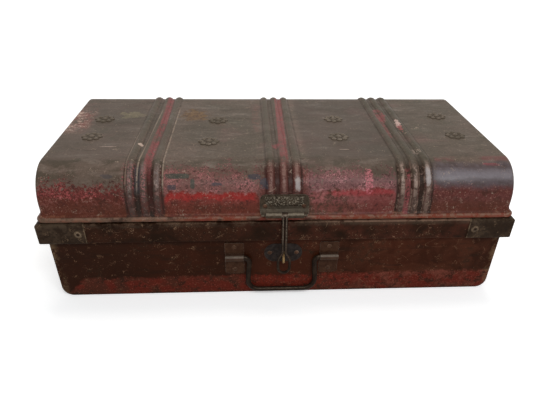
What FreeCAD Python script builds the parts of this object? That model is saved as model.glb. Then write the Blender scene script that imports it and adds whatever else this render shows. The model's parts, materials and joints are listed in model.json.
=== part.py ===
"""Dome top trunk of pressed steel sheet.

Millimetres. +X runs along the length, the front faces -Y, +Z is up.
The origin is the middle of the underside, on the surface the trunk stands on.
Each sheet-metal piece is a profile of constant thickness, drawn across the
sheet and then extruded, turned or swept along the edge that it follows.
"""
import FreeCAD
import Part
import math
import os

V = FreeCAD.Vector
X_AXIS = V(1, 0, 0)
Y_AXIS = V(0, 1, 0)
Z_AXIS = V(0, 0, 1)
TINY = 1e-6                   # lengths below this count as none

# ---------------------------------------------------------------- driving sizes
# body
body_length = 731.0           # outside of the base and of the lid, end to end
body_depth = 391.0            # outside of the base and of the lid, front to back
sheet = 1.0                   # steel sheet of the lid, the base and the rim
base_wall_top = 143.0         # top edge of the base's walls
base_bottom_radius = 18.0     # round between the bottom and each end
base_edge_radius = 3.0        # round where the wrap sheet turns onto the front and back
seam_lip = 10.0               # lip of a wrap sheet that is turned onto an end or the front
seam_gap = 0.2                # hairline between a lip and the panel beside it
seam_flange = 3.0             # how far a panel's joggled flange reaches past the lip

# rim strip round the mouth of the base
rim_overhang = 8.5            # how far the rim's outer face stands out from the wall
rim_bottom = 110.0
rim_return = 3.5              # lip turned inwards under the rim
rim_outer_bend = 2.0
rim_inner_bend = 1.2
neck_height = 12.5            # the folded neck that the lid slips over
neck_clearance = 1.2          # between the neck and the inside of the lid
neck_fold_gap = 0.2
neck_jog = 2.5                # height over which the leg steps in to the neck
neck_leg_bottom = 122.0       # lower end of the leg inside the base
neck_corner_notch = 5.0       # the neck stops this far short of each corner

# corner caps
cap_sheet = 1.0
cap_length = 73.0             # along the front or back, from the corner
cap_length_end = 60.0         # along the end, from the corner
cap_top_width = 8.0
cap_bottom_width = 4.0

# lid
lid_top = 226.0
dome_wall = 9.1               # straight wall between the hollow curve and the dome's large round
lid_edge_radius = 5.0         # round where the dome sheet turns onto the ends
bead_radius = 4.2             # rolled bead on the lid's lower edge
bead_inset = 2.1              # bead's outside, inwards from the rim cap's outside
bead_seat_gap = 0.4           # bead above the corner caps
bead_wrap_end = 170.0         # degrees that the curl runs on past the outermost point
cove_radius = 12.0            # hollow curve between the lid's wall and its bead
wire_clearance = 0.15

# ribs pressed into the dome sheet
rib_width = 14.0
rib_height = 3.6
rib_pitch = 20.0
rib_group_from_end = 158.5    # middle of the left or right group, from the end of the lid
middle_rib_shift = 4.0        # the middle group stands a little to the right
rib_lower_end = 153.5         # where a rib runs out into the bead
rib_hollow_end = 156.0
middle_rib_end_angle = 20.0   # degrees up the dome's front round, above the hasp plate

# pressed rosettes on the lid, struck by hand, so their rows wander
rosette_from_end = 54.5
rosette_from_middle = 108.0
rosette_front_rows = (-56.0, -79.0, -61.0, -55.0)
rosette_back_rows = (29.5, 22.5, 28.0, 43.0)
rosette_front_shifts = (2.0, -6.0, -3.0, -0.5)    # sideways, off the column
rosette_back_shifts = (4.0, 5.0, 1.0, -2.0)
rosette_petals = 8
rosette_ring_radius = 12.7
petal_sphere_radius = 6.0
petal_height = 3.0
boss_sphere_radius = 5.8
boss_height = 4.0
rosette_disc_radius = 14.0
rosette_disc = 0.8

lock_shift = 5.0              # the lock is a little right of the middle

# hasp plate on the lid and its rolled barrel
hasp_plate_width = 76.0
hasp_plate_top_angle = 16.0   # degrees up the dome's front round
hasp_sheet = 1.4
hasp_corner = 9.0
hasp_barrel_width = 58.0
hasp_axis_out = 12.5          # pin axis, out from the body's front face
hasp_axis_height = 158.7
hasp_pin_radius = 3.2
hasp_slot_width = 10.2
hasp_pin_fit = 0.05           # running fit in the arm's knuckle; the plate grips the pin
hasp_pin_end = 0.8            # pin stands out from each end of the barrel
hasp_pin_chamfer = 0.5
hasp_rivet_spacing = 60.0
leaf_bend_above_cove = 0.5    # where a leaf on the lid bends away from the wall
leaf_bend_radius = 3.0
leaf_rivet_below_spring = 3.6 # rivets of a leaf on the lid, below the foot of the dome's round

# hasp arm: a rod bent double, opened out into an eye
arm_rod_radius = 2.2
arm_rod_spacing = 5.0
arm_knuckle_play = 0.4
arm_bow_out = 20.3            # out from the body's front face, where it passes the rim
arm_bow_height = 112.0
arm_bow_bend = 30.0
arm_eye_out = 20.0
arm_neck_height = 94.0        # where the two rods part
arm_neck_bend = 7.0
arm_shoulder_bend = 9.0
eye_half_width = 9.3
eye_shoulder_height = 82.0
eye_centre_height = 65.0
eye_flat = 0.2                # straight left between the two bends under the eye

# staple and its plate on the base front
staple_height = 76.0
staple_half_height = 7.0
staple_rod_radius = 2.1
staple_reach = 17.0           # tip of the staple, out from the body's front face
staple_plate_width = 62.0
staple_plate_height = 34.0
staple_plate_middle = 82.0
staple_plate_sheet = 1.2
staple_rivet_spacing = 44.0
staple_clench_radius = 3.6
staple_clench = 1.4

# bail handle and its two brackets
handle_shift = 3.0            # middle of the handle, right of the trunk's middle
handle_spacing = 155.6        # between the middles of the brackets
bracket_width = 31.0
bracket_height = 60.0
bracket_middle = 72.0
bracket_sheet = 1.4
bracket_corner = 3.0
barrel_width = 29.4
bail_radius = 4.0
bail_fit = 0.08
bail_axis_height = 75.5
bracket_rivet_spacing = 43.0
bail_end_inset = 2.0
bail_arm_room = 10.1          # middle of an arm's top, inwards from the bracket's barrel
bail_splay = 5.0              # how far each arm spreads on its way down to the grip
bail_grip_height = 10.8
bail_top_bend = 9.0
bail_grip_bend = 20.0

# back hinges
hinge_from_end = 97.5         # middle of a hinge, from the end of the body
hinge_width = 40.0
hinge_sheet = 1.4
hinge_pin_radius = 2.4
hinge_fit = 0.05              # running fit in the middle knuckle; the outer ones grip the pin
hinge_knuckle_play = 0.3
hinge_middle_knuckle = 13.6
hinge_leaf_bottom = 114.0
hinge_leaf_top_angle = 12.0
hinge_leaf_clearance = 0.45   # lid leaf round the base leaf's knuckles
hinge_rivet_height = 128.0
hinge_rivet_spacing = 24.0
hinge_pin_head_radius = 3.6
hinge_pin_head = 1.2

# rivets
rivet_radius = 1.8
rivet_head_radius = 3.6
rivet_head = 1.5
rivet_tail = 1.2
rivet_tail_radius = 3.0
rivet_hole_play = 0.1
tube_rivet_head_radius = 4.4
tube_rivet_dimple_radius = 2.0
tube_rivet_dimple = 1.0
cap_rivet_from_edge = 11.0

# ---------------------------------------------------------------- worked out sizes
half_length = body_length / 2
half_depth = body_depth / 2
rib_group_spacing = half_length - rib_group_from_end
hinge_spacing = body_length - 2 * hinge_from_end
rim_top = base_wall_top + sheet
bead_out = rim_overhang + cap_sheet - bead_inset - bead_radius
bead_height = rim_top + cap_sheet + bead_seat_gap + bead_radius
curl_radius = bead_radius - sheet / 2
cove_out = cove_radius - sheet / 2
cove_angle = math.degrees(math.acos((cove_out - bead_out) / (cove_radius + curl_radius)))
cove_top = bead_height + (cove_radius + curl_radius) * math.sin(math.radians(cove_angle))
dome_spring = cove_top + dome_wall
dome_radius = lid_top - dome_spring
bail_axis_out = bail_radius + bail_fit + bracket_sheet
hinge_axis_out = rim_overhang + hinge_pin_radius + hinge_fit + hinge_sheet
hinge_axis_height = bead_height
lid_rivet_height = dome_spring - leaf_rivet_below_spring


# ---------------------------------------------------------------- drawing helpers
def corner_arc(before, corner, after, radius):
    """Start, middle and end of the arc that rounds a corner of a path."""
    t1 = (corner - before).normalize()
    t2 = (after - corner).normalize()
    half_turn = t1.getAngle(t2) / 2
    reach = radius * math.tan(half_turn)
    inward = (t2 - t1).normalize()
    centre = corner + inward * (radius / math.cos(half_turn))
    return corner - t1 * reach, centre - inward * radius, corner + t2 * reach


def line(a, b):
    return Part.LineSegment(a, b).toShape()


def arc(a, middle, b):
    return Part.Arc(a, middle, b).toShape()


def face_of(edges):
    return Part.Face(Part.Wire(Part.__sortEdges__(edges)))


def rounded_path(points, radii):
    """Wire of straight runs joined by tangent arcs, one radius for each inner corner."""
    edges = []
    last = points[0]
    for i, radius in enumerate(radii):
        start, middle, end = corner_arc(points[i], points[i + 1], points[i + 2], radius)
        if (start - last).Length > TINY:
            edges.append(line(last, start))
        edges.append(arc(start, middle, end))
        last = end
    if (points[-1] - last).Length > TINY:
        edges.append(line(last, points[-1]))
    return Part.Wire(edges)


def rod(points, radii, radius):
    """Round bar bent along a path of straight runs and arcs."""
    path = rounded_path(points, radii)
    section = Part.Wire(Part.makeCircle(radius, points[0], points[1] - points[0]))
    return path.makePipeShell([section], True, True)


def sheet_side(points, radii, shift):
    """Edges of one face of a bent sheet, shifted sideways from its middle line."""
    def side(a, b):
        along = (b - a).normalize()
        return V(-along.y, along.x, 0) * shift

    first = points[0] + side(points[0], points[1])
    last = first
    edges = []
    for i, radius in enumerate(radii):
        a, b, c = points[i], points[i + 1], points[i + 2]
        start, middle, stop = corner_arc(a, b, c, radius)
        left_turn = (b - a).cross(c - b).z > 0
        inward = ((c - b).normalize() - (b - a).normalize()).normalize()
        start = start + side(a, b)
        middle = middle + inward * (shift if left_turn else -shift)
        stop = stop + side(b, c)
        if (start - last).Length > TINY:
            edges.append(line(last, start))
        edges.append(arc(start, middle, stop))
        last = stop
    end = points[-1] + side(points[-2], points[-1])
    edges.append(line(last, end))
    return edges, first, end


def bent_sheet(points, radii, thickness):
    """Face across a bent sheet, from the (out, up) points of its middle line."""
    middle_line = [V(out, up, 0) for out, up in points]
    left, left_start, left_end = sheet_side(middle_line, radii, thickness / 2)
    right, right_start, right_end = sheet_side(middle_line, radii, -thickness / 2)
    ends = [line(left_end, right_end), line(left_start, right_start)]
    return face_of(left + right + ends)


def arc_between(centre, radius, angle_from, angle_to):
    """Arc edge by angles in degrees, with its two ends."""
    points = []
    for angle in (angle_from, (angle_from + angle_to) / 2, angle_to):
        a = math.radians(angle)
        points.append(centre + V(math.cos(a), math.sin(a), 0) * radius)
    return arc(*points), points[0], points[2]


def curved_sheet(centre, radius, angle_from, angle_to, thickness):
    """Face across a sheet that follows an arc; radius is its nearer face's."""
    near, near_from, near_to = arc_between(centre, radius, angle_from, angle_to)
    far, far_from, far_to = arc_between(centre, radius + thickness, angle_from, angle_to)
    return face_of([near, far, line(near_from, far_from), line(near_to, far_to)])


def on_front(section, x):
    """Stand a flat (out, up) section across the front of the body at x."""
    stood = section.copy()
    turn = FreeCAD.Rotation(V(0, -1, 0), Z_AXIS, V(-1, 0, 0), "XYZ")
    stood.Placement = FreeCAD.Placement(V(x, -half_depth, 0), turn)
    return stood


def along_front(section, x_from, x_to):
    return on_front(section, x_from).extrude(V(x_to - x_from, 0, 0))


def turned_to_left_end(shape):
    """Move a piece of the front edge round to the left end."""
    turned = shape.copy()
    turned.rotate(V(0, 0, 0), Z_AXIS, -90)
    turned.translate(V(half_depth - half_length, 0, 0))
    return turned


def to_back(shape):
    return shape.mirror(V(0, 0, 0), Y_AXIS)


def to_right(shape):
    return shape.mirror(V(0, 0, 0), X_AXIS)


def box(x_from, x_to, y_from, y_to, z_from, z_to):
    return Part.makeBox(x_to - x_from, y_to - y_from, z_to - z_from, V(x_from, y_from, z_from))


def front_y(out):
    """Y of a point that stands out from the body's front face."""
    return -half_depth - out


def bar_x(radius, x_from, x_to, out, height):
    """Round bar along X in front of the body."""
    return Part.makeCylinder(radius, x_to - x_from, V(x_from, front_y(out), height), X_AXIS)


def front_plate(x, height, width, tall, corner, thickness):
    """Flat plate with rounded corners on the body's front face."""
    w = width / 2
    t = tall / 2
    start = V(-w, 0, 0)
    loop = [start, V(-w, 0, -t), V(w, 0, -t), V(w, 0, t), V(-w, 0, t), start]
    plate = Part.Face(rounded_path(loop, [corner] * 4)).extrude(V(0, -thickness, 0))
    plate.translate(V(x, front_y(0), height))
    return plate


def fused(shapes):
    return shapes[0].fuse(shapes[1:]).removeSplitter()


# ---------------------------------------------------------------- rivets
def dome_arc(radius, base, top):
    """Half section of a low round head, from its rim at base to its crown at top."""
    rise = top - base
    ball = (radius ** 2 + rise ** 2) / (2 * rise)
    half_angle = math.asin(radius / ball) / 2
    middle = V(ball * math.sin(half_angle), 0, top - ball + ball * math.cos(half_angle))
    return arc(V(radius, 0, base), middle, V(0, 0, top))


def rivet(point, outward, grip, dimpled=False):
    """Rivet whose head sits on point, its shank running inwards through the grip."""
    head_radius = tube_rivet_head_radius if dimpled else rivet_head_radius
    tail_end = -grip - rivet_tail
    shank = [V(rivet_tail_radius, 0, -grip), V(rivet_radius, 0, -grip),
             V(rivet_radius, 0, 0), V(head_radius, 0, 0)]
    edges = [dome_arc(head_radius, 0, rivet_head), dome_arc(rivet_tail_radius, -grip, tail_end)]
    edges.append(line(V(0, 0, rivet_head), V(0, 0, tail_end)))
    edges += [line(a, b) for a, b in zip(shank, shank[1:])]
    solid = face_of(edges).revolve(V(0, 0, 0), Z_AXIS, 360)
    if dimpled:
        floor = V(0, 0, rivet_head - tube_rivet_dimple)
        solid = solid.cut(Part.makeCylinder(tube_rivet_dimple_radius, rivet_head, floor))
    solid.Placement = FreeCAD.Placement(point, FreeCAD.Rotation(Z_AXIS, outward))
    return solid


def rivet_hole(point, outward, radius=rivet_radius):
    """Hole for a rivet through whatever sheets lie near point."""
    depth = 4 * sheet
    return Part.makeCylinder(radius + rivet_hole_play, 2 * depth, point + outward * depth, outward * -1)


def in_pairs(middle, spacing):
    return (middle - spacing / 2, middle + spacing / 2)


def hasp_rivet_points():
    return [V(x, front_y(0), lid_rivet_height) for x in in_pairs(lock_shift, hasp_rivet_spacing)]


def staple_rivet_points():
    return [V(x, front_y(0), staple_plate_middle) for x in in_pairs(lock_shift, staple_rivet_spacing)]


def staple_leg_points():
    return [V(lock_shift, front_y(0), z) for z in in_pairs(staple_height, 2 * staple_half_height)]


def bracket_rivet_points():
    points = []
    for x in in_pairs(handle_shift, handle_spacing):
        for z in in_pairs(bracket_middle, bracket_rivet_spacing):
            points.append(V(x, front_y(0), z))
    return points


def hinge_rivet_points(out, height):
    points = []
    for middle in in_pairs(0, hinge_spacing):
        for x in in_pairs(middle, hinge_rivet_spacing):
            points.append(V(x, half_depth + out, height))
    return points


def cap_rivet_points():
    """Point and outward direction of the two rivets of each corner cap."""
    out = rim_overhang + cap_sheet
    middle = (rim_top + rim_bottom) / 2
    x = half_length + out
    y = half_depth + out
    points = []
    for sx in (-1, 1):
        for sy in (-1, 1):
            along_x = x - cap_length + cap_rivet_from_edge
            along_y = y - cap_length_end + cap_rivet_from_edge
            points.append((V(sx * along_x, sy * y, middle), V(0, sy, 0)))
            points.append((V(sx * x, sy * along_y, middle), V(sx, 0, 0)))
    return points


# ---------------------------------------------------------------- lid
def dome_outline(inset, bottom):
    """Outline of the lid across its depth, inset from its outside."""
    d = half_depth - inset
    top = lid_top - inset
    corners = [V(0, -d, bottom), V(0, -d, top), V(0, d, top), V(0, d, bottom)]
    path = rounded_path(corners, [dome_radius - inset] * 2)
    return Part.Face(Part.Wire(path.Edges + [line(corners[3], corners[0])]))


def dome_slice(inset, bottom, x_from, x_to):
    outline = dome_outline(inset, bottom)
    outline.translate(V(x_from, 0, 0))
    return outline.extrude(V(x_to - x_from, 0, 0))


def round_the_rim(block, axis, reach, radius, open_height):
    """Round the edges of a block's two end faces, apart from those at its open side."""
    edges = []
    for edge in block.Edges:
        places = [getattr(v.Point, axis) for v in edge.Vertexes]
        heights = [v.Point.z for v in edge.Vertexes]
        at_one_end = all(abs(p - places[0]) < TINY for p in places) and abs(abs(places[0]) - reach) < TINY
        at_open_side = all(abs(h - open_height) < TINY for h in heights)
        if at_one_end and not at_open_side:
            edges.append(edge)
    return block.makeFillet(radius, edges)


def dome_block(inset, bottom):
    """The lid's outside, or with an inset its inside, as a solid block."""
    reach = half_length - inset
    block = dome_slice(inset, bottom, -reach, reach)
    return round_the_rim(block, "x", reach, lid_edge_radius - inset, bottom)


def rib_places():
    """x of each rib, with the angle up the front round where a middle rib starts."""
    places = []
    for group in (-1, 0, 1):
        middle = group * rib_group_spacing if group else middle_rib_shift
        start = None if group else middle_rib_end_angle
        places += [(middle + step * rib_pitch, start) for step in (-1, 0, 1)]
    return places


def ridge(x, inset, bottom, start_angle):
    """Rounded ridge over the dome, or with an inset the hollow under it."""
    corner_front = V(x, -half_depth, lid_top)
    corner_back = V(x, half_depth, lid_top)
    back = V(x, half_depth, bottom)
    if start_angle is None:
        start = V(x, -half_depth, bottom)
        outward = Y_AXIS * -1
        path = rounded_path([start, corner_front, corner_back, back], [dome_radius] * 2)
    else:
        centre = V(x, -half_depth + dome_radius, dome_spring)
        turns = [math.radians(a) for a in (start_angle, (start_angle + 90) / 2, 90)]
        directions = [V(0, -math.cos(a), math.sin(a)) for a in turns]
        points = [centre + d * dome_radius for d in directions]
        start = points[0]
        outward = directions[0]
        rest = rounded_path([points[2], corner_back, back], [dome_radius])
        path = Part.Wire([arc(*points)] + rest.Edges)
    crown = (rib_width ** 2 / 4 + rib_height ** 2) / (2 * rib_height)
    centre_out = rib_height - crown
    radius = crown - inset
    foot_out = -inset - sheet / 2
    half = math.sqrt(radius ** 2 - (foot_out - centre_out) ** 2)
    left = start - X_AXIS * half + outward * foot_out
    right = start + X_AXIS * half + outward * foot_out
    top = start + outward * (centre_out + radius)
    section = Part.Wire([arc(left, top, right), line(right, left)])
    return path.makePipeShell([section], True, False)


def hem_section():
    """Section of the lid's lower edge: a hollow curve, then the curl round the wire."""
    bead = V(bead_out, bead_height, 0)
    cove = V(cove_out, cove_top, 0)
    hollow = curved_sheet(cove, cove_radius - sheet / 2, 180, 180 + cove_angle, sheet)
    curl = curved_sheet(bead, bead_radius - sheet, cove_angle, -bead_wrap_end, sheet)
    return hollow, curl


def hem_side(reach):
    """The hem along the front edge, with half of the corner at each end."""
    pieces = []
    for part_of_section in hem_section():
        pivot = V(reach, -half_depth + lid_edge_radius, 0)
        corner = on_front(part_of_section, reach).revolve(pivot, Z_AXIS, 45)
        pieces += [along_front(part_of_section, -reach, reach), corner, to_right(corner)]
    return fused(pieces)


def lid_dome_sheet():
    ridges = [ridge(x, 0, rib_lower_end, start) for x, start in rib_places()]
    wall_angle = math.degrees(sheet / dome_radius)
    hollows = []
    for x, start in rib_places():
        inner_start = start + wall_angle if start else None
        hollows.append(ridge(x, sheet, rib_hollow_end, inner_start))
    front_hem = hem_side(half_length - lid_edge_radius)
    inside = dome_block(sheet, cove_top - sheet)
    end_faces = dome_slice(seam_lip, cove_top - sheet, -body_length, body_length)
    middle_reach = half_length - lid_edge_radius
    middle = box(-middle_reach, middle_reach, -body_depth, body_depth, 0, 2 * lid_top)
    holes = [rivet_hole(p, Y_AXIS) for p in hasp_rivet_points() + hinge_rivet_points(0, lid_rivet_height)]
    shell = dome_block(0, cove_top).fuse(ridges + [front_hem, to_back(front_hem)])
    shell = shell.cut([inside, end_faces.cut(middle)] + hollows + holes)
    return shell.removeSplitter()


def lid_end_left():
    """End panel: flush inside the dome sheet's lip, with a joggled flange behind it."""
    plate = dome_slice(seam_lip + seam_gap, cove_top, -half_length, -half_length + sheet)
    behind = (-half_length + sheet, -half_length + 2 * sheet)
    flange = dome_slice(lid_edge_radius + seam_gap, cove_top + seam_gap, *behind)
    opening = dome_slice(seam_lip + seam_flange, cove_top - sheet, *behind)
    hem = turned_to_left_end(hem_side(half_depth - lid_edge_radius))
    return fused([plate, flange.cut(opening), hem])


def lid_edge_wire():
    """Wire inside the rolled bead, one closed ring round the lid."""
    radius = bead_radius - sheet - wire_clearance
    x = half_length + bead_out
    y = half_depth + bead_out
    start = V(0, -y, bead_height)
    loop = [start, V(x, -y, bead_height), V(x, y, bead_height),
            V(-x, y, bead_height), V(-x, -y, bead_height), start]
    path = rounded_path(loop, [lid_edge_radius + bead_out] * 4)
    section = Part.Wire(Part.makeCircle(radius, start, X_AXIS))
    return path.makePipeShell([section], True, True)


def cap_of_sphere(radius, height, x, y):
    """Sphere that stands the given height above a sheet at x, y."""
    return Part.makeSphere(radius, V(x, y, height - radius))


def rosette():
    """Flower pressed from thin sheet: a ring of domed petals round a boss."""
    parts = [cap_of_sphere(boss_sphere_radius, boss_height, 0, 0)]
    for i in range(rosette_petals):
        a = 2 * math.pi * i / rosette_petals
        x = rosette_ring_radius * math.cos(a)
        y = rosette_ring_radius * math.sin(a)
        parts.append(cap_of_sphere(petal_sphere_radius, petal_height, x, y))
    flower = Part.makeCylinder(rosette_disc_radius, rosette_disc).fuse(parts)
    reach = rosette_ring_radius + petal_sphere_radius
    above = box(-reach, reach, -reach, reach, 0, reach)
    return flower.common(above).removeSplitter()


def lid_rosettes():
    flower = rosette()
    flowers = []
    outer = half_length - rosette_from_end
    columns = (-outer, -rosette_from_middle, rosette_from_middle, outer)
    front = zip(columns, rosette_front_shifts, rosette_front_rows)
    back = zip(columns, rosette_back_shifts, rosette_back_rows)
    for column, shift, y in list(front) + list(back):
        one = flower.copy()
        one.translate(V(column + shift, y, lid_top))
        flowers.append(one)
    return Part.makeCompound(flowers)


# ---------------------------------------------------------------- leaves and hasp
def leaf_section(axis_out, axis_height, barrel_radius, thickness, top_angle, side):
    """Faces across a leaf that lies on the dome and reaches down to a barrel.

    side is 1 where the leaf meets the barrel underneath, and -1 where it passes over it.
    """
    out = thickness / 2
    bend_height = cove_top + leaf_bend_above_cove
    roll = barrel_radius - thickness / 2
    towards = math.atan2(bend_height - axis_height, out - axis_out)
    distance = math.hypot(bend_height - axis_height, out - axis_out)
    angle = towards + side * math.acos(roll / distance)
    end = (axis_out + roll * math.cos(angle), axis_height + roll * math.sin(angle))
    lower = bent_sheet([end, (out, bend_height), (out, dome_spring)], [leaf_bend_radius], thickness)
    upper = curved_sheet(V(-dome_radius, dome_spring, 0), dome_radius, 0, top_angle, thickness)
    return lower, upper


def leaf_top(top_angle, thickness):
    return dome_spring + (dome_radius + thickness) * math.sin(math.radians(top_angle))


def hasp_plate():
    """Pressed plate on the dome's front, with its lower edge rolled into a barrel."""
    w = hasp_plate_width / 2
    barrel = hasp_pin_radius + hasp_pin_fit + hasp_sheet
    sections = leaf_section(hasp_axis_out, hasp_axis_height, barrel, hasp_sheet, hasp_plate_top_angle, 1)
    sheets = [along_front(s, lock_shift - w, lock_shift + w) for s in sections]
    top = leaf_top(hasp_plate_top_angle, hasp_sheet)
    low = hasp_axis_height - barrel
    reach = hasp_axis_out + barrel
    outline = front_plate(lock_shift, (top + low) / 2, hasp_plate_width, top - low, hasp_corner, reach)
    outline = outline.fuse(front_plate(lock_shift, (top + low) / 2, hasp_plate_width, top - low,
                                       hasp_corner, -dome_radius))
    plate = fused(sheets).common(outline)
    b = hasp_barrel_width / 2
    ends = (lock_shift - b, lock_shift + b)
    plate = fused([plate, bar_x(barrel, *ends, hasp_axis_out, hasp_axis_height)])
    s = hasp_slot_width / 2
    slot = box(lock_shift - s, lock_shift + s, front_y(2 * hasp_axis_out),
               front_y(hasp_axis_out - barrel - arm_knuckle_play),
               low - barrel, hasp_axis_height + barrel + arm_knuckle_play)
    bore = bar_x(hasp_pin_radius, *ends, hasp_axis_out, hasp_axis_height)
    holes = [rivet_hole(p, Y_AXIS) for p in hasp_rivet_points()]
    return plate.cut([slot, bore] + holes).removeSplitter()


def hasp_pin():
    half = hasp_barrel_width / 2 + hasp_pin_end
    pin = bar_x(hasp_pin_radius, lock_shift - half, lock_shift + half, hasp_axis_out, hasp_axis_height)
    rims = [edge for edge in pin.Edges if edge.Closed and edge.Curve.TypeId == "Part::GeomCircle"]
    return pin.makeChamfer(hasp_pin_chamfer, rims)


def hasp_arm():
    """A rod bent double, hung on the pin by a knuckle and opened out into an eye."""
    barrel = hasp_pin_radius + hasp_pin_fit + hasp_sheet
    near = arm_rod_spacing / 2
    right_side = [
        (near, hasp_axis_out + barrel - arm_rod_radius, hasp_axis_height),
        (near, arm_bow_out, arm_bow_height),
        (near, arm_eye_out, arm_neck_height),
        (eye_half_width, arm_eye_out, eye_shoulder_height),
        (eye_half_width, arm_eye_out, eye_centre_height - eye_half_width)]
    side_radii = [arm_bow_bend, arm_neck_bend, arm_shoulder_bend, eye_half_width - eye_flat / 2]
    left_side = [(-x, out, z) for x, out, z in reversed(right_side)]
    points = [V(lock_shift + x, front_y(out), z) for x, out, z in right_side + left_side]
    bar = rod(points, side_radii + side_radii[::-1], arm_rod_radius)
    k = hasp_slot_width / 2 - arm_knuckle_play
    ends = (lock_shift - k, lock_shift + k)
    knuckle = bar_x(barrel, *ends, hasp_axis_out, hasp_axis_height)
    s = hasp_slot_width
    bore = bar_x(hasp_pin_radius + hasp_pin_fit, lock_shift - s, lock_shift + s,
                 hasp_axis_out, hasp_axis_height)
    return fused([bar, knuckle]).cut(bore)


# ---------------------------------------------------------------- staple
def staple_plate():
    plate = front_plate(lock_shift, staple_plate_middle, staple_plate_width, staple_plate_height,
                        staple_plate_height / 2 - seam_gap, staple_plate_sheet)
    holes = [rivet_hole(p, Y_AXIS) for p in staple_rivet_points()]
    holes += [rivet_hole(p, Y_AXIS, staple_rod_radius) for p in staple_leg_points()]
    return plate.cut(holes)


def hasp_staple():
    """Loop of rod whose two legs pass through the front and are clenched inside."""
    tip = staple_reach - staple_rod_radius
    low = staple_height - staple_half_height
    high = staple_height + staple_half_height
    route = [(-sheet, high), (tip, high), (tip, low), (-sheet, low)]
    points = [V(lock_shift, front_y(out), z) for out, z in route]
    loop = rod(points, [staple_half_height - seam_gap] * 2, staple_rod_radius)
    clenches = []
    for p in staple_leg_points():
        clench = face_of([
            dome_arc(staple_clench_radius, 0, -staple_clench),
            line(V(0, 0, 0), V(0, 0, -staple_clench)),
            line(V(0, 0, 0), V(staple_clench_radius, 0, 0))]).revolve(V(0, 0, 0), Z_AXIS, 360)
        inside = V(p.x, front_y(-sheet), p.z)
        clench.Placement = FreeCAD.Placement(inside, FreeCAD.Rotation(Z_AXIS, Y_AXIS * -1))
        clenches.append(clench)
    return fused([loop] + clenches)


# ---------------------------------------------------------------- handle
def handle_bracket(x):
    """Plate riveted to the front, with a strap pressed out of it round the bail."""
    plate = front_plate(x, bracket_middle, bracket_width, bracket_height, bracket_corner, bracket_sheet)
    ends = in_pairs(x, barrel_width)
    bore_radius = bail_radius + bail_fit
    outer = bore_radius + bracket_sheet
    strap = bar_x(outer, *ends, bail_axis_out, bail_axis_height)
    strap_sides = box(*ends, front_y(bail_axis_out), front_y(0),
                      bail_axis_height - outer, bail_axis_height + outer)
    bore = bar_x(bore_radius, *ends, bail_axis_out, bail_axis_height)
    bore_sides = box(*ends, front_y(bail_axis_out), front_y(bracket_sheet),
                     bail_axis_height - bore_radius, bail_axis_height + bore_radius)
    holes = [rivet_hole(p, Y_AXIS) for p in bracket_rivet_points()]
    return fused([plate, strap, strap_sides]).cut([bore, bore_sides] + holes).removeSplitter()


def bail_handle():
    """Round bar whose turned-in ends sit in the brackets and whose grip hangs below."""
    half_end = (handle_spacing + barrel_width) / 2 - bail_end_inset
    half_neck = (handle_spacing - barrel_width) / 2 - bail_arm_room
    right = [(half_end, bail_axis_height), (half_neck, bail_axis_height),
             (half_neck + bail_splay, bail_grip_height)]
    left = [(-x, z) for x, z in reversed(right)]
    points = [V(handle_shift + x, front_y(bail_axis_out), z) for x, z in right + left]
    return rod(points, [bail_top_bend, bail_grip_bend, bail_grip_bend, bail_top_bend], bail_radius)


# ---------------------------------------------------------------- base
def window_slice(inset, top, y_from, y_to):
    """Block between y_from and y_to, its outline inset from the base's front outline."""
    x = half_length - inset
    corners = [V(-x, y_from, top), V(-x, y_from, inset), V(x, y_from, inset), V(x, y_from, top)]
    path = rounded_path(corners, [base_bottom_radius - inset] * 2)
    outline = Part.Face(Part.Wire(path.Edges + [line(corners[3], corners[0])]))
    return outline.extrude(V(0, y_to - y_from, 0))


def base_block(inset, top):
    """The base's outside, or with an inset its inside, as a solid block."""
    y = half_depth - inset
    block = window_slice(inset, top, -y, y)
    return round_the_rim(block, "y", y, base_edge_radius - inset, top)


def base_wrap_sheet():
    """One sheet that makes the bottom and both ends, with lips turned onto front and back."""
    outside = base_block(0, base_wall_top)
    top = 2 * base_wall_top
    inside = base_block(sheet, top)
    window = window_slice(seam_lip, top, -body_depth, body_depth)
    return outside.cut([inside, window]).removeSplitter()


def base_panel():
    """Panel of the front or back: flush inside the wrap's lip, with a joggled flange."""
    front = -half_depth
    inset = seam_lip + seam_gap
    plate = window_slice(inset, base_wall_top, front, front + sheet)
    flange_top = neck_leg_bottom - seam_gap
    flange = window_slice(base_edge_radius + seam_gap, flange_top, front + sheet, front + 2 * sheet)
    opening = window_slice(seam_lip + seam_flange, 2 * flange_top, front + sheet, front + 2 * sheet)
    return fused([plate, flange.cut(opening)])


def base_front_panel():
    points = staple_rivet_points() + bracket_rivet_points()
    holes = [rivet_hole(p, Y_AXIS) for p in points]
    holes += [rivet_hole(p, Y_AXIS, staple_rod_radius) for p in staple_leg_points()]
    return base_panel().cut(holes)


# ---------------------------------------------------------------- rim
def rim_section():
    """Section of the rim strip: leg, folded neck, ledge, outer wall and return."""
    neck_top = rim_top + neck_height
    neck_outer = -sheet - neck_clearance - sheet / 2
    neck_inner = neck_outer - sheet - neck_fold_gap
    leg = -1.5 * sheet
    wall = rim_overhang - sheet / 2
    ledge = rim_top - sheet / 2
    fold = (sheet + neck_fold_gap) / 2
    points = [
        (leg, neck_leg_bottom), (leg, base_wall_top - 2 * neck_jog), (neck_inner, base_wall_top - neck_jog),
        (neck_inner, neck_top - sheet / 2), (neck_outer, neck_top - sheet / 2),
        (neck_outer, ledge), (wall, ledge), (wall, rim_bottom + sheet / 2),
        (wall - rim_return, rim_bottom + sheet / 2)]
    radii = [rim_inner_bend, rim_inner_bend, fold, fold, rim_inner_bend, rim_outer_bend, rim_outer_bend]
    return bent_sheet(points, radii, sheet)


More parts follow.
